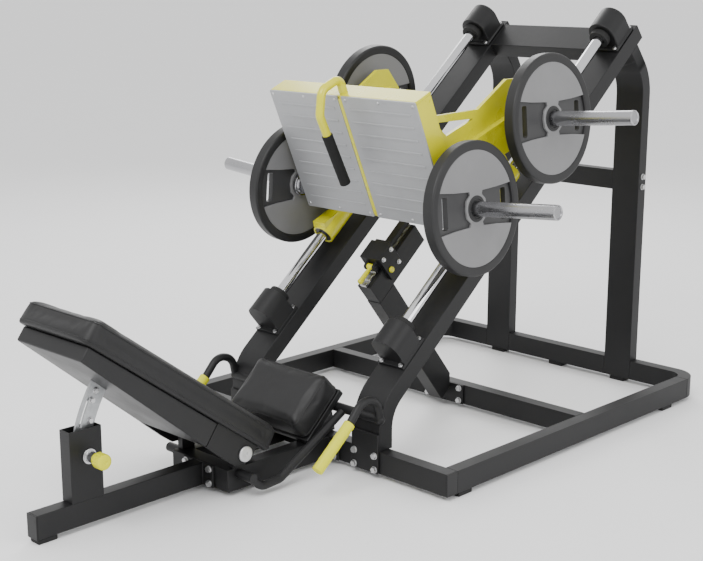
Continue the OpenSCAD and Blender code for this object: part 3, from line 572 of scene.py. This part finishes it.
# painted frame
for node in ("front_rail", "cross_rails", "side_rail_near", "side_rail_far", "rear_corner_near",
             "rear_corner_far", "beam_near", "beam_far", "post_near", "post_far", "top_crossbeam",
             "mid_crossbeam", "beam_foot_plates", "stop_column", "head_beam", "head_post", "seat_base",
             "pivot_lugs"):
    softCopy(node, "frame", "powderBlack", 0.0032, 3)
for node in ("lower_clamps", "upper_clamps"):
    softCopy(node, "frame", "powderBlack", 0.005, 3)
softCopy("rail_feet", "frame", "rubber", 0.003, 2)
softCopy("end_caps", "frame", "plastic", 0.0015, 2)
softCopy("rod_buffers", "frame", "rubber", 0.003, 2)
softCopy("frame_bolts", "frame", "zinc", 0.0008, 2, 20)
softCopy("stop_rack", "frame", "zinc", 0.0012, 2)
softCopy("seat_board", "frame", "plastic", 0.004, 2)
softCopy("pop_pin_housing", "frame", "zinc", 0.0015, 2)
print("frame done")

# guide rods
rodLook = {"radius": 0.020, "chamfer": 0.0012}
for side, sign in (("near", 1), ("far", -1)):
    low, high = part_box("rod_" + side)
    half = ((high[2] - low[2]) / 2 - rodLook["radius"] * math.cos(rake)) / math.sin(rake)
    place = axisMatrix((sign * beamX, rodMid.y, rodMid.z), slideWay)
    bm = bmesh.new()
    r, c = rodLook["radius"], rodLook["chamfer"]
    profile = [(-half, 0), (-half, r - c), (-half + c, r), (half - c, r), (half, r - c), (half, 0)]
    spinInto(bm, profile, place, 72)
    addPiece("guideRod_" + side, bm, "frame", "chrome", ["rod_" + side])

# footplate
panelLook = {"halfWidth": 0.344, "length": 0.477, "thick": 0.006, "rib": 0.008, "ribs": 9, "ribLift": 0.002,
             "ribHalf": 0.0042, "ribRound": 0.0017, "ribInset": 0.026, "ribOutset": 0.032, "screw": 0.0055,
             "screwInset": 0.014, "cornerRound": 0.006}
for side, sign in (("near", 1), ("far", -1)):
    w0, w1 = panelLook["rib"] + 0.001, panelLook["halfWidth"]
    corners = [(w0, 0.0), (w1, 0.0), (w1, panelLook["length"]), (w0, panelLook["length"])]
    if sign < 0:
        corners = [(-x, y) for x, y in reversed(corners)]
    turn = footPlace @ tilted((0, panelLook["thick"] / 2, 0), math.pi / 2)
    flatShape("footPanel_" + side, [roundPolygon(corners, panelLook["cornerRound"])], panelLook["thick"],
              0.0009, turn, "carriage", "footAluminium", ["foot_panel_" + side])
    ribs = bmesh.new()
    a, b = w0 + panelLook["ribInset"], w1 - panelLook["ribOutset"]
    for i in range(panelLook["ribs"]):
        z = (i + 1) * panelLook["length"] / (panelLook["ribs"] + 1)
        size = Matrix.Diagonal((b - a, 2 * panelLook["ribLift"], 2 * panelLook["ribHalf"], 1))
        place = footPlace @ Matrix.Translation((sign * (a + b) / 2, 0, z)) @ size
        bar = bmesh.ops.create_cube(ribs, size=1, matrix=place)
        roundEdges(ribs, edgesOf(bar["verts"]), panelLook["ribRound"], 4)
    addPiece("footRibs_" + side, ribs, "carriage", "footAluminium")
    screws = bmesh.new()
    inset = panelLook["screwInset"]
    outward = footPlace.to_3x3() @ Vector((0, -1, 0))
    for x in (w0 + 0.016, (w0 + w1) / 2, w1 - inset):
        for z in (inset, panelLook["length"] - inset):
            screwInto(screws, footPlace @ Vector((sign * x, 0, z)), outward, panelLook["screw"])
    addPiece("footScrews_" + side, screws, "carriage", "zinc")
for node in ("foot_frame_ends", "foot_frame_sides", "arm_near", "arm_far", "carriage_crossbars", "sleeves"):
    softCopy(node, "carriage", "limePaint", 0.003, 3)
softCopy("stop_tongue", "carriage", "powderBlack", 0.002, 2)
softCopy("guide_bushes", "carriage", "plastic", 0.001, 2)
print("footplate done")

# pull hook
hookLook = {"radius": 0.015, "bend": 0.040, "grip": 0.019, "gripBore": 0.0152, "gripFrom": 0.074,
            "gripLength": 0.196, "ridges": 16, "ridgeDepth": 0.0006}
hookPoints = [(0.028, 0.477), (0.028, 0.531), (-0.062, 0.531), (-0.104, 0.457), (-0.088, 0.193)]
path = roundedPath([footPlace @ Vector((0, y, z)) for y, z in hookPoints], hookLook["bend"], 14)
bm = bmesh.new()
tubeInto(bm, path, hookLook["radius"], 14)
addPiece("pullHook", bm, "carriage", "limePaint", ["pull_hook"])
legStart, legEnd = (footPlace @ Vector((0, *hookPoints[k])) for k in (3, 4))
leg = (legEnd - legStart).normalized()
g, bore, end = hookLook["grip"], hookLook["gripBore"], hookLook["gripLength"]
bm = bmesh.new()
profile = [(0, bore), (0, g - 0.002)] + arcProfile(0.003, g - 0.003, 0.003, 180, 90)[1:]
for i in range(hookLook["ridges"] + 1):
    dip = hookLook["ridgeDepth"] if i % 2 else 0.0
    profile.append((0.008 + (end - 0.020) * i / hookLook["ridges"], g - dip))
profile += arcProfile(end - 0.003, g - 0.003, 0.003, 90, 0) + [(end, bore), (end, 0)]
spinInto(bm, profile, axisMatrix(legStart + leg * hookLook["gripFrom"], leg), 40)
addPiece("hookGrip", bm, "carriage", "foam", ["hook_grip"])

# plate pins
pinLook = {"radius": 0.025, "wall": 0.004, "flange": 0.045, "flangeThick": 0.012, "inner": -0.02265,
           "plateHalf": 0.0225, "reach": {"near": 0.325, "far": 0.371}, "collar": 0.037, "collarEdge": 0.004}
for side, sign in (("near", 1), ("far", -1)):
    bm = bmesh.new()
    for height in ("low", "high"):
        plate = "plate_%s_%s" % (side, height)
        way = Vector(joints[plate + "_slide"]["axis"]).normalized()
        centre = middle(plate)
        inner = pinLook["inner"]
        tip = pinLook["plateHalf"] + pinLook["reach"][side]
        m = axisMatrix(centre, way)
        r, f = pinLook["radius"], pinLook["flange"]
        outer = inner - pinLook["flangeThick"]
        profile = [(outer, 0), (outer, f - 0.002), (outer + 0.002, f), (inner - 0.002, f),
                   (inner, f - 0.002), (inner, r + 0.003), (inner + 0.003, r)]
        profile += [(tip - 0.003, r), (tip, r - 0.003), (tip, r - pinLook["wall"]), (tip - 0.002, r - 0.006),
                    (tip - 0.004, r - 0.007), (tip - 0.004, 0)]
        spinInto(bm, profile, m, 64)
        back = centre + way * outer
        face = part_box("foot_frame_sides")[1][0] if height == "low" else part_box("arm_near")[1][0]
        run = (abs(back.x) - face) / abs(way.x)
        c, e = pinLook["collar"], pinLook["collarEdge"]
        spinInto(bm, [(-run, 0), (-run, c - e), (-e, c - e), (0, c), (0, 0)], axisMatrix(back, way), 48)
    addPiece("platePins_" + side, bm, "carriage", "turned", ["pins_" + side])
print("pins done")

# weight plates
weightLook = {"radius": 0.225, "rim": 0.030, "thick": 0.0447, "hub": 0.044, "bore": 0.0254, "faceIn": 0.0028,
              "slotX": 0.150, "slotHalf": 0.0128, "slotTall": 0.0535, "bandDepth": 0.009, "rimRound": 0.008,
              "waist": [(0.110, 0.062), (0.034, 0.058), (0.030, 0.046), (0.0475, 0.030), (0.0525, 0.0)]}
for side, sign in (("near", 1), ("far", -1)):
    for height in ("low", "high"):
        plate = "plate_%s_%s" % (side, height)
        way = Vector(joints[plate + "_slide"]["axis"]).normalized()
        m = axisMatrix(middle(plate), way)
        w = weightLook
        h = w["thick"] / 2
        outer, inner = w["radius"], w["radius"] - w["rim"]
        bm = bmesh.new()
        lip = [(0.010, inner - 0.004), (0.005, inner - 0.003), (0.001, inner + 0.001), (0, inner + 0.006)]
        b = w["rimRound"]
        profile = [(-h + x, r) for x, r in lip] + arcProfile(-h + b, outer - b, b, 180, 90, 6)
        profile += arcProfile(h - b, outer - b, b, 90, 0, 6)
        profile += [(h - x, r) for x, r in lip[::-1]] + [(-h + lip[0][0], lip[0][1])]
        spinInto(bm, profile, m, 128)
        addPiece("weightRim_" + side + "_" + height, bm, plate, "plateDark", [plate])
        toYz = m @ Matrix(((0, 0, 1, 0), (1, 0, 0, 0), (0, 1, 0, 0), (0, 0, 0, 1)))
        slots = []
        for s in (-1, 1):
            x0, x1 = s * w["slotX"] - w["slotHalf"], s * w["slotX"] + w["slotHalf"]
            tall = w["slotTall"]
            slots.append(roundPolygon([(x0, -tall), (x1, -tall), (x1, tall), (x0, tall)], 0.008))
        web = 2 * (h - w["faceIn"] - w["bandDepth"])
        rings = [ringOutline(inner, 128), ringOutline(w["bore"] + 0.004, 48)]
        flatShape("weightWeb_" + side + "_" + height, rings + slots, web, 0.0012, toYz, plate, "plateWeb")
        edge = inner - 0.001
        quarter = [(edge * math.cos(math.radians(v)), edge * math.sin(math.radians(v)))
                   for v in range(90, 18, -3)] + w["waist"]
        right = quarter + [(x, -y) for x, y in quarter[-2::-1]]
        moons = right + [(-x, y) for x, y in right[-2:0:-1]]
        for label, end in (("Front", 1), ("Back", -1)):
            place = toYz @ Matrix.Translation((0, 0, end * (h - w["faceIn"] - w["bandDepth"] / 2)))
            flatShape("weight" + label + "_" + side + "_" + height,
                      [moons, ringOutline(w["hub"] - 0.004, 64)],
                      w["bandDepth"], 0.0016, place, plate, "plateGrey")
        bm = bmesh.new()
        hub, bore = w["hub"], w["bore"]
        profile = [(-h + 0.0005, bore), (-h, bore + 0.002), (-h, hub - 0.002), (-h + 0.002, hub),
                   (h - 0.002, hub), (h, hub - 0.003), (h, bore + 0.008), (h - 0.003, bore + 0.006),
                   (h - 0.003, bore + 0.001), (h - 0.004, bore), (-h + 0.0005, bore)]
        spinInto(bm, profile, m, 72)
        addPiece("weightHub_" + side + "_" + height, bm, plate, "plateDark")
print("weight plates done")

# stop block and lever
softCopy("stop_block", "stop", "powderBlack", 0.003, 3)
stopMid = Vector(joints["stop_lever_pull"]["pos_m"])
stopLook = {"cap": 0.011, "capAt": (0.475, -0.052), "bolt": 0.007,
            "boltsAt": ((0.470, 0.006), (0.520, 0.006), (0.520, -0.060))}
bm = bmesh.new()
side = onSlope(0, *stopLook["capAt"]).translation
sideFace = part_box("stop_block")[1][0]
r = stopLook["cap"]
spinInto(bm, [(0, 0), (0, r), (0.005, r), (0.0075, r - 0.002), (0.008, 0)],
         Matrix.Translation((sideFace, side.y, side.z)), 32)
addPiece("stopCap", bm, "stop", "limePaint")
bm = bmesh.new()
for s, t in stopLook["boltsAt"]:
    spot = onSlope(0, s, t).translation
    for sign in (1, -1):
        boltInto(bm, (sign * sideFace, spot.y, spot.z), (sign, 0, 0), stopLook["bolt"])
addPiece("stopBolts", bm, "stop", "zinc")
lever = onSlope(0, 0, 0).to_3x3() @ Vector((0, -1, 0))
# the handle is a list of (distance along the lever, radius)
leverLook = {"hub": 0.011, "hubHalf": 0.0135, "hubBore": 0.0051, "chamfer": 0.001,
             "handle": [(0.006, 0), (0.006, 0.0075), (0.020, 0.0072), (0.030, 0.0085), (0.060, 0.0092),
                        (0.072, 0.0108), (0.0755, 0.0095), (0.078, 0.006), (0.079, 0)]}
bm = bmesh.new()
h, r, bore, c = (leverLook[k] for k in ("hubHalf", "hub", "hubBore", "chamfer"))
spinInto(bm, [(-h, bore), (-h, r - c), (-h + c, r), (h - c, r), (h, r - c), (h, bore), (-h, bore)],
         Matrix.Translation(stopMid), 32)
spinInto(bm, leverLook["handle"], axisMatrix(stopMid, lever), 32)
addPiece("stopLever", bm, "lever", "limePaint", ["stop_lever"])
print("stop done")

# pop pin
popMid = middle("pop_pin")
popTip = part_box("pop_pin")[0][0]
# the outline is a list of (place along the pin, radius), and the flutes run between the two fluted places
knobLook = {"shaft": 0.005, "shaftEnd": 0.070, "flutes": 12, "flute": 0.0016, "fluted": (0.071, 0.103),
            "outline": [(0.060, 0.012), (0.060, 0.0185), (0.061, 0.019), (0.067, 0.019), (0.069, 0.0225),
                        (0.071, 0.0242), (0.074, 0.0248), (0.098, 0.0248), (0.103, 0.0238),
                        (0.1055, 0.021), (0.107, 0.016), (0.107, 0.008), (0.1055, 0.007), (0.1055, 0)]}
bm = bmesh.new()
r, end = knobLook["shaft"], knobLook["shaftEnd"]
spinInto(bm, [(popTip, 0), (popTip, r - 0.0015), (popTip + 0.0015, r), (end, r), (end, 0)],
         Matrix.Translation((0, popMid.y, popMid.z)), 32)
addPiece("popPinShaft", bm, "pin", "zinc", ["pop_pin"])
bm = bmesh.new()
turned = spinInto(bm, knobLook["outline"], Matrix.Identity(4), 96)
first, last = knobLook["fluted"]
for v in turned:
    reach = math.hypot(v.co.y, v.co.z)
    if first <= v.co.x <= last and reach > 0.02:
        dip = knobLook["flute"] * max(0.0, math.cos(math.atan2(v.co.z, v.co.y) * knobLook["flutes"])) ** 2
        v.co.y, v.co.z = v.co.y * (1 - dip / reach), v.co.z * (1 - dip / reach)
bmesh.ops.translate(bm, verts=turned, vec=(0, popMid.y, popMid.z))
addPiece("popPinKnob", bm, "pin", "limeGrip", sharp=40)
print("pop pin done")

# handles and seat tubes
tubeLook = {"bar": 0.016, "elbow": 0.0168, "hook": 0.014, "bend": 0.052, "gripX": 0.360, "gripAngle": 39.5,
            "gripLength": 0.190, "grip": 0.019, "gripBore": 0.0142, "ridges": 12, "ridgeDepth": 0.0005,
            "top": (-0.128, 0.224), "underSeat": 0.136, "alongSeat": 0.052}
along, under = tubeLook["alongSeat"], tubeLook["underSeat"]
barY = stand["seatBack"] - along * math.cos(seatAngle) + under * math.sin(seatAngle)
barZ = railTop + stand["seatRise"] - along * math.sin(seatAngle) - under * math.cos(seatAngle)
top = Vector(tubeLook["top"])
gripAngle = math.radians(tubeLook["gripAngle"])
gripWay = Vector((-math.cos(gripAngle), -math.sin(gripAngle)))
hook = [(barY, barZ), (barY - 0.014, barZ + 0.066), (-0.072, barZ + 0.086), tuple(top),
        tuple(top + gripWay * tubeLook["gripLength"])]
for side, sign in (("near", 1), ("far", -1)):
    x = tubeLook["gripX"]
    bm = bmesh.new()
    arm = [Vector((0.0003 * sign, frontY + barY, barZ)), Vector((sign * (x - 0.002), frontY + barY, barZ))]
    tubeInto(bm, arm, tubeLook["bar"], 14)
    elbow = arcProfile(0, 0, tubeLook["elbow"], 180, 0, 16)
    spinInto(bm, elbow, Matrix.Translation((sign * x, frontY + barY, barZ)), 32)
    path = roundedPath([(sign * x, frontY + y, z) for y, z in hook], tubeLook["bend"], 12)
    tubeInto(bm, path, tubeLook["hook"], 12)
    addPiece("handle_" + side + "Tube", bm, "frame", "powderBlack", ["handle_" + side])
    way = Vector((0, gripWay.x, gripWay.y))
    g = tubeLook["grip"]
    profile = [(0.004, tubeLook["gripBore"]), (0.004, g - 0.003)]
    profile += arcProfile(0.007, g - 0.003, 0.003, 180, 90, 4)
    for i in range(tubeLook["ridges"] + 1):
        dip = tubeLook["ridgeDepth"] if i % 2 else 0
        profile.append((0.012 + 0.168 * i / tubeLook["ridges"], g - dip))
    profile += arcProfile(0.191, g - 0.004, 0.004, 90, 0, 5) + [(0.195, 0.006), (0.1935, 0.005), (0.1935, 0)]
    bm = bmesh.new()
    spinInto(bm, profile, axisMatrix((sign * x, frontY + top.x, top.y), way), 40)
    addPiece("sideGrip_" + side, bm, "frame", "limeGrip", ["handle_grips"] if sign > 0 else ())
seatTubeLook = {"side": 0.197, "inner": 0.140, "radius": 0.014, "stub": 0.0158, "bend": 0.045}
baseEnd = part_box("seat_base")[0][1] - frontY
bend = [Vector((baseEnd + 0.045, railTop - 0.020)), Vector((baseEnd + 0.090, railTop - 0.062)),
        Vector((baseEnd + 0.170, railTop - 0.058))]
barPoint = Vector((barY, barZ))
up = (barPoint - bend[2]).normalized()
bend.append(barPoint - up * 0.0155)
bm = bmesh.new()
for sign in (1, -1):
    points = [(sign * seatTubeLook["side"], frontY + p.x, p.y) for p in bend]
    tubeInto(bm, roundedPath(points, seatTubeLook["bend"], 12), seatTubeLook["radius"], 12)
    inner = seatTubeLook["inner"]
    stub = [Vector((sign * x, frontY + bend[0].x, bend[0].y))
            for x in (inner, inner + 0.02, seatTubeLook["side"] + 0.016)]
    tubeInto(bm, stub, seatTubeLook["stub"], 12)
addPiece("seatTubes", bm, "frame", "powderBlack", ["seat_tubes"])
print("handles done")

# backrest metal
softCopy("back_shell", "backrest", "plastic", 0.006, 3)
softCopy("back_hinge_plates", "backrest", "powderBlack", 0.003, 3)
# the cap is a list of (distance from the middle, radius)
shaftLook = {"half": 0.166, "radius": 0.0125,
             "cap": [(0.166, 0), (0.166, 0.0252), (0.1675, 0.0264), (0.172, 0.0264), (0.1742, 0.0245),
                     (0.1748, 0.0165), (0.1744, 0.0155), (0.1744, 0.0078), (0.1740, 0.0070),
                     (0.1715, 0.0066), (0.1715, 0)]}
half, r = shaftLook["half"], shaftLook["radius"]
bm = bmesh.new()
spinInto(bm, [(-half, 0), (-half, r), (half, r), (half, 0)], Matrix.Translation(pivot), 48)
addPiece("pivotShaft", bm, "backrest", "zinc", ["pivot_shaft"])
bm = bmesh.new()
for sign in (1, -1):
    turn = Matrix.Identity(4) if sign > 0 else Matrix.Rotation(math.pi, 4, "Z")
    spinInto(bm, shaftLook["cap"], Matrix.Translation(pivot) @ turn, 64)
addPiece("pivotCaps", bm, "backrest", "zinc")


def polar(r, a):
    return (-r * math.cos(math.radians(a)), r * math.sin(math.radians(a)))


softCopy("quadrant", "backrest", "galvanised", 0.0008, 2, 40)
# bolts are placed by (distance from the pivot, angle in degrees)
quadrantLook = {"bolt": 0.0085, "half": 0.004, "boltsAt": ((0.517, 28.5), (0.517, 32.0), (0.500, 21.8))}
bm = bmesh.new()
for r, a in quadrantLook["boltsAt"]:
    y, z = polar(r, a)
    for sign in (1, -1):
        boltInto(bm, (sign * quadrantLook["half"], pivot.y + y, pivot.z + z), (sign, 0, 0),
                 quadrantLook["bolt"])
addPiece("quadrantBolts", bm, "backrest", "zinc")
print("backrest metal done")

# cushions
padLook = {
    "back_pad": dict(width=0.370, length=0.862, thick=0.085, round=0.026, edge=0.015, cap=0.007,
                     pressure=3.0),
    "seat_pad": dict(width=0.350, length=0.218, thick=0.095, round=0.022, edge=0.016, cap=0.005,
                     pressure=2.0),
}
backLead, backLift = 0.096, 0.126
clothLook = {"voxel": 0.0055, "held": 0.008, "stiffness": 12, "quality": 4, "frames": 20}
seamLook = {"inset": 0.012, "topRadius": 0.0017, "lowRadius": 0.0015, "step": 0.008}


def padStart(w, l, t, corner, edge, shrink):
    bm = bmesh.new()
    size = Matrix.Diagonal((w - 2 * shrink, l - 2 * shrink, t - shrink, 1))
    bmesh.ops.create_cube(bm, size=1, matrix=Matrix.Translation((0, 0, (t - shrink) / 2)) @ size)
    upright = [e for e in bm.edges if abs(e.verts[0].co.z - e.verts[1].co.z) > t / 2]
    roundEdges(bm, upright, corner, 6)
    for level, offset in ((t - shrink, edge), (0, 0.004)):
        rim = [e for e in bm.edges if all(abs(v.co.z - level) < 0.0001 for v in e.verts)]
        roundEdges(bm, rim, offset, 5)
    return bm


def remeshPad(obj, voxel):
    remesh = obj.modifiers.new("remesh", "REMESH")
    remesh.mode = "VOXEL"
    remesh.voxel_size = voxel
    bpy.context.view_layer.objects.active = obj
    bpy.ops.object.modifier_apply(modifier="remesh")


# blows the pad up as a cloth held at its board, then limits how far it went
def inflate(obj, look):
    remeshPad(obj, clothLook["voxel"])
    held = obj.vertex_groups.new(name="held")
    held.add([v.index for v in obj.data.vertices if v.co.z < clothLook["held"]], 1.0, "REPLACE")
    before = [v.co.copy() for v in obj.data.vertices]
    cloth = obj.modifiers.new("cloth", "CLOTH")
    cloth.settings.use_pressure = True
    cloth.settings.uniform_pressure_force = look["pressure"]
    cloth.settings.tension_stiffness = clothLook["stiffness"]
    cloth.settings.compression_stiffness = clothLook["stiffness"]
    cloth.settings.vertex_group_mass = "held"
    cloth.settings.effector_weights.gravity = 0
    cloth.settings.quality = clothLook["quality"]
    cloth.point_cache.frame_start = 1
    cloth.point_cache.frame_end = clothLook["frames"]
    for f in range(1, clothLook["frames"] + 1):
        scene.frame_set(f)
    bpy.ops.object.modifier_apply(modifier="cloth")
    scene.frame_set(1)
    for v, old in zip(obj.data.vertices, before):
        move = v.co - old
        if move.length > look["cap"]:
            v.co = old + move.normalized() * look["cap"]
    obj.vertex_groups.clear()


def smoothPad(obj, rounds):
    bm = bmesh.new()
    bm.from_mesh(obj.data)
    for _ in range(rounds):
        above = [v for v in bm.verts if v.co.z > 0.007]
        bmesh.ops.smooth_vert(bm, verts=above, factor=0.5, use_axis_x=True, use_axis_y=True,
                              use_axis_z=True)
    bm.to_mesh(obj.data)
    bm.free()


def seamOn(tree, outline, z, radius):
    points = []
    for x, y in outline:
        hit, normal, index, distance = tree.find_nearest(Vector((x, y, z)))
        points.append(hit + normal * radius * 0.15)
    return points


def makePad(node, name, body, place, offset):
    look = padLook[node]
    w, l, t = look["width"], look["length"], look["thick"]
    bm = padStart(w, l, t, look["round"], look["edge"], 0.004)
    bmesh.ops.recalc_face_normals(bm, faces=bm.faces)
    obj = meshObject(name, bm)
    inflate(obj, look)
    smoothPad(obj, 3)
    reach = [max(abs(v.co[k]) for v in obj.data.vertices) for k in (0, 1)]
    reach.append(max(v.co.z for v in obj.data.vertices))
    scale = [(w / 2 - 0.0015) / reach[0], (l / 2 - 0.0015) / reach[1], (t - 0.0005) / reach[2]]
    for v in obj.data.vertices:
        v.co = Vector([v.co[k] * scale[k] for k in range(3)])
        v.co.z = max(0.0004, v.co.z)
    # two stitched seams, one round the top edge and one near the board
    bm = bmesh.new()
    bm.from_mesh(obj.data)
    tree = BVHTree.FromBMesh(bm)
    bm.free()
    seams = bmesh.new()
    corners = [(-w / 2, -l / 2), (w / 2, -l / 2), (w / 2, l / 2), (-w / 2, l / 2)]
    outline = roundPolygon(corners, look["round"], 8)
    dense = []
    for i in range(len(outline)):
        a, b = Vector(outline[i]), Vector(outline[(i + 1) % len(outline)])
        count = max(1, int((b - a).length / seamLook["step"]))
        dense += [tuple(a.lerp(b, k / count)) for k in range(count)]
    inset = seamLook["inset"]
    for z, radius in ((t - inset, seamLook["topRadius"]), (inset, seamLook["lowRadius"])):
        points = seamOn(tree, dense, z, radius)
        tubeInto(seams, points, radius, 2, cyclic=True)
    bmesh.ops.transform(seams, matrix=place @ offset, verts=seams.verts)
    obj.data.transform(place @ offset)
    obj.data.materials.append(finish["vinyl"])
    for face in obj.data.polygons:
        face.use_smooth = True
    sub = obj.modifiers.new("sub", "SUBSURF")
    sub.levels = 1
    sub.render_levels = 1
    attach(obj, body)
    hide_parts(node)
    addPiece(name + "Seams", seams, body, "vinyl")


backPad, seatPad = padLook["back_pad"], padLook["seat_pad"]
backOffset = Matrix.Translation((0, backLead - backPad["length"] / 2, backLift - backPad["thick"]))
seatOffset = Matrix.Translation((0, -seatPad["length"] / 2, -seatPad["thick"]))
makePad("back_pad", "backCushion", "backrest", backPlace, backOffset)
makePad("seat_pad", "seatCushion", "frame", seatPlace, seatOffset)
print("cushions done")

# stage
studio = {"floor": (0.90, 0.90, 0.905), "floorTone": (0.92, 0.92, 0.922), "floorRough": 0.6,
          "floorSize": 90.0, "world": 1.25, "key": 190.0, "fill": 70.0, "rim": 120.0}
bm = bmesh.new()
bmesh.ops.create_grid(bm, x_segments=2, y_segments=2, size=studio["floorSize"])
floor = meshObject("floor", bm)
material = bpy.data.materials.new("floorPaint")
material.use_nodes = True
n, link = material.node_tree.nodes, material.node_tree.links.new
shader = n["Principled BSDF"]
spot = n.new("ShaderNodeTexCoord")
cloud = noiseNode(n, 1.5, 3.0)
tone = mixNode(n, studio["floorTone"], studio["floor"])
link(spot.outputs["Object"], cloud.inputs["Vector"])
link(cloud.outputs["Fac"], tone.inputs["Factor"])
link(tone.outputs["Result"], shader.inputs["Base Color"])
shader.inputs["Roughness"].default_value = studio["floorRough"]
floor.data.materials.append(material)

world = bpy.data.worlds.new("studio")
scene.world = world
world.use_nodes = True
world.node_tree.nodes["Background"].inputs["Color"].default_value = (1.0, 1.0, 1.0, 1)
world.node_tree.nodes["Background"].inputs["Strength"].default_value = studio["world"]


def areaLight(name, place, target, size, power):
    data = bpy.data.lights.new(name, "AREA")
    data.shape = "RECTANGLE"
    data.size, data.size_y = size
    data.energy = power
    lamp = bpy.data.objects.new(name, data)
    lamp.location = place
    lamp.rotation_euler = (Vector(target) - Vector(place)).to_track_quat("-Z", "Y").to_euler()
    scene.collection.objects.link(lamp)


areaLight("key", (1.0, -3.4, 4.6), (0, 0, 0.6), (3.4, 2.4), studio["key"])
areaLight("fill", (4.6, 0.6, 2.6), (0, 0, 0.7), (2.6, 3.0), studio["fill"])
areaLight("rim", (-3.2, 3.2, 3.8), (0, 0, 0.8), (2.6, 2.6), studio["rim"])

# camera
view = {"place": (3.2145, -3.262, 1.6361), "turn": 44.76, "down": 13.47, "roll": -0.06, "lens": 68.9,
        "shift": (0.0134, 0.0142)}
a, e, r = (math.radians(view[k]) for k in ("turn", "down", "roll"))
back = Vector((math.sin(a) * math.cos(e), -math.cos(a) * math.cos(e), math.sin(e)))
right = Vector((math.cos(a), math.sin(a), 0))
upward = back.cross(right)
right, upward = (right * math.cos(r) + upward * math.sin(r),
                 upward * math.cos(r) - right * math.sin(r))
camera = bpy.data.cameras.new("camera")
camera.sensor_width = 36.0
camera.lens = view["lens"]
camera.shift_x, camera.shift_y = view["shift"]
camera.clip_end = 300
eye = bpy.data.objects.new("camera", camera)
eye.matrix_world = Matrix.Translation(view["place"]) @ Matrix((right, upward, back)).transposed().to_4x4()
scene.collection.objects.link(eye)
scene.camera = eye

print("scene done")
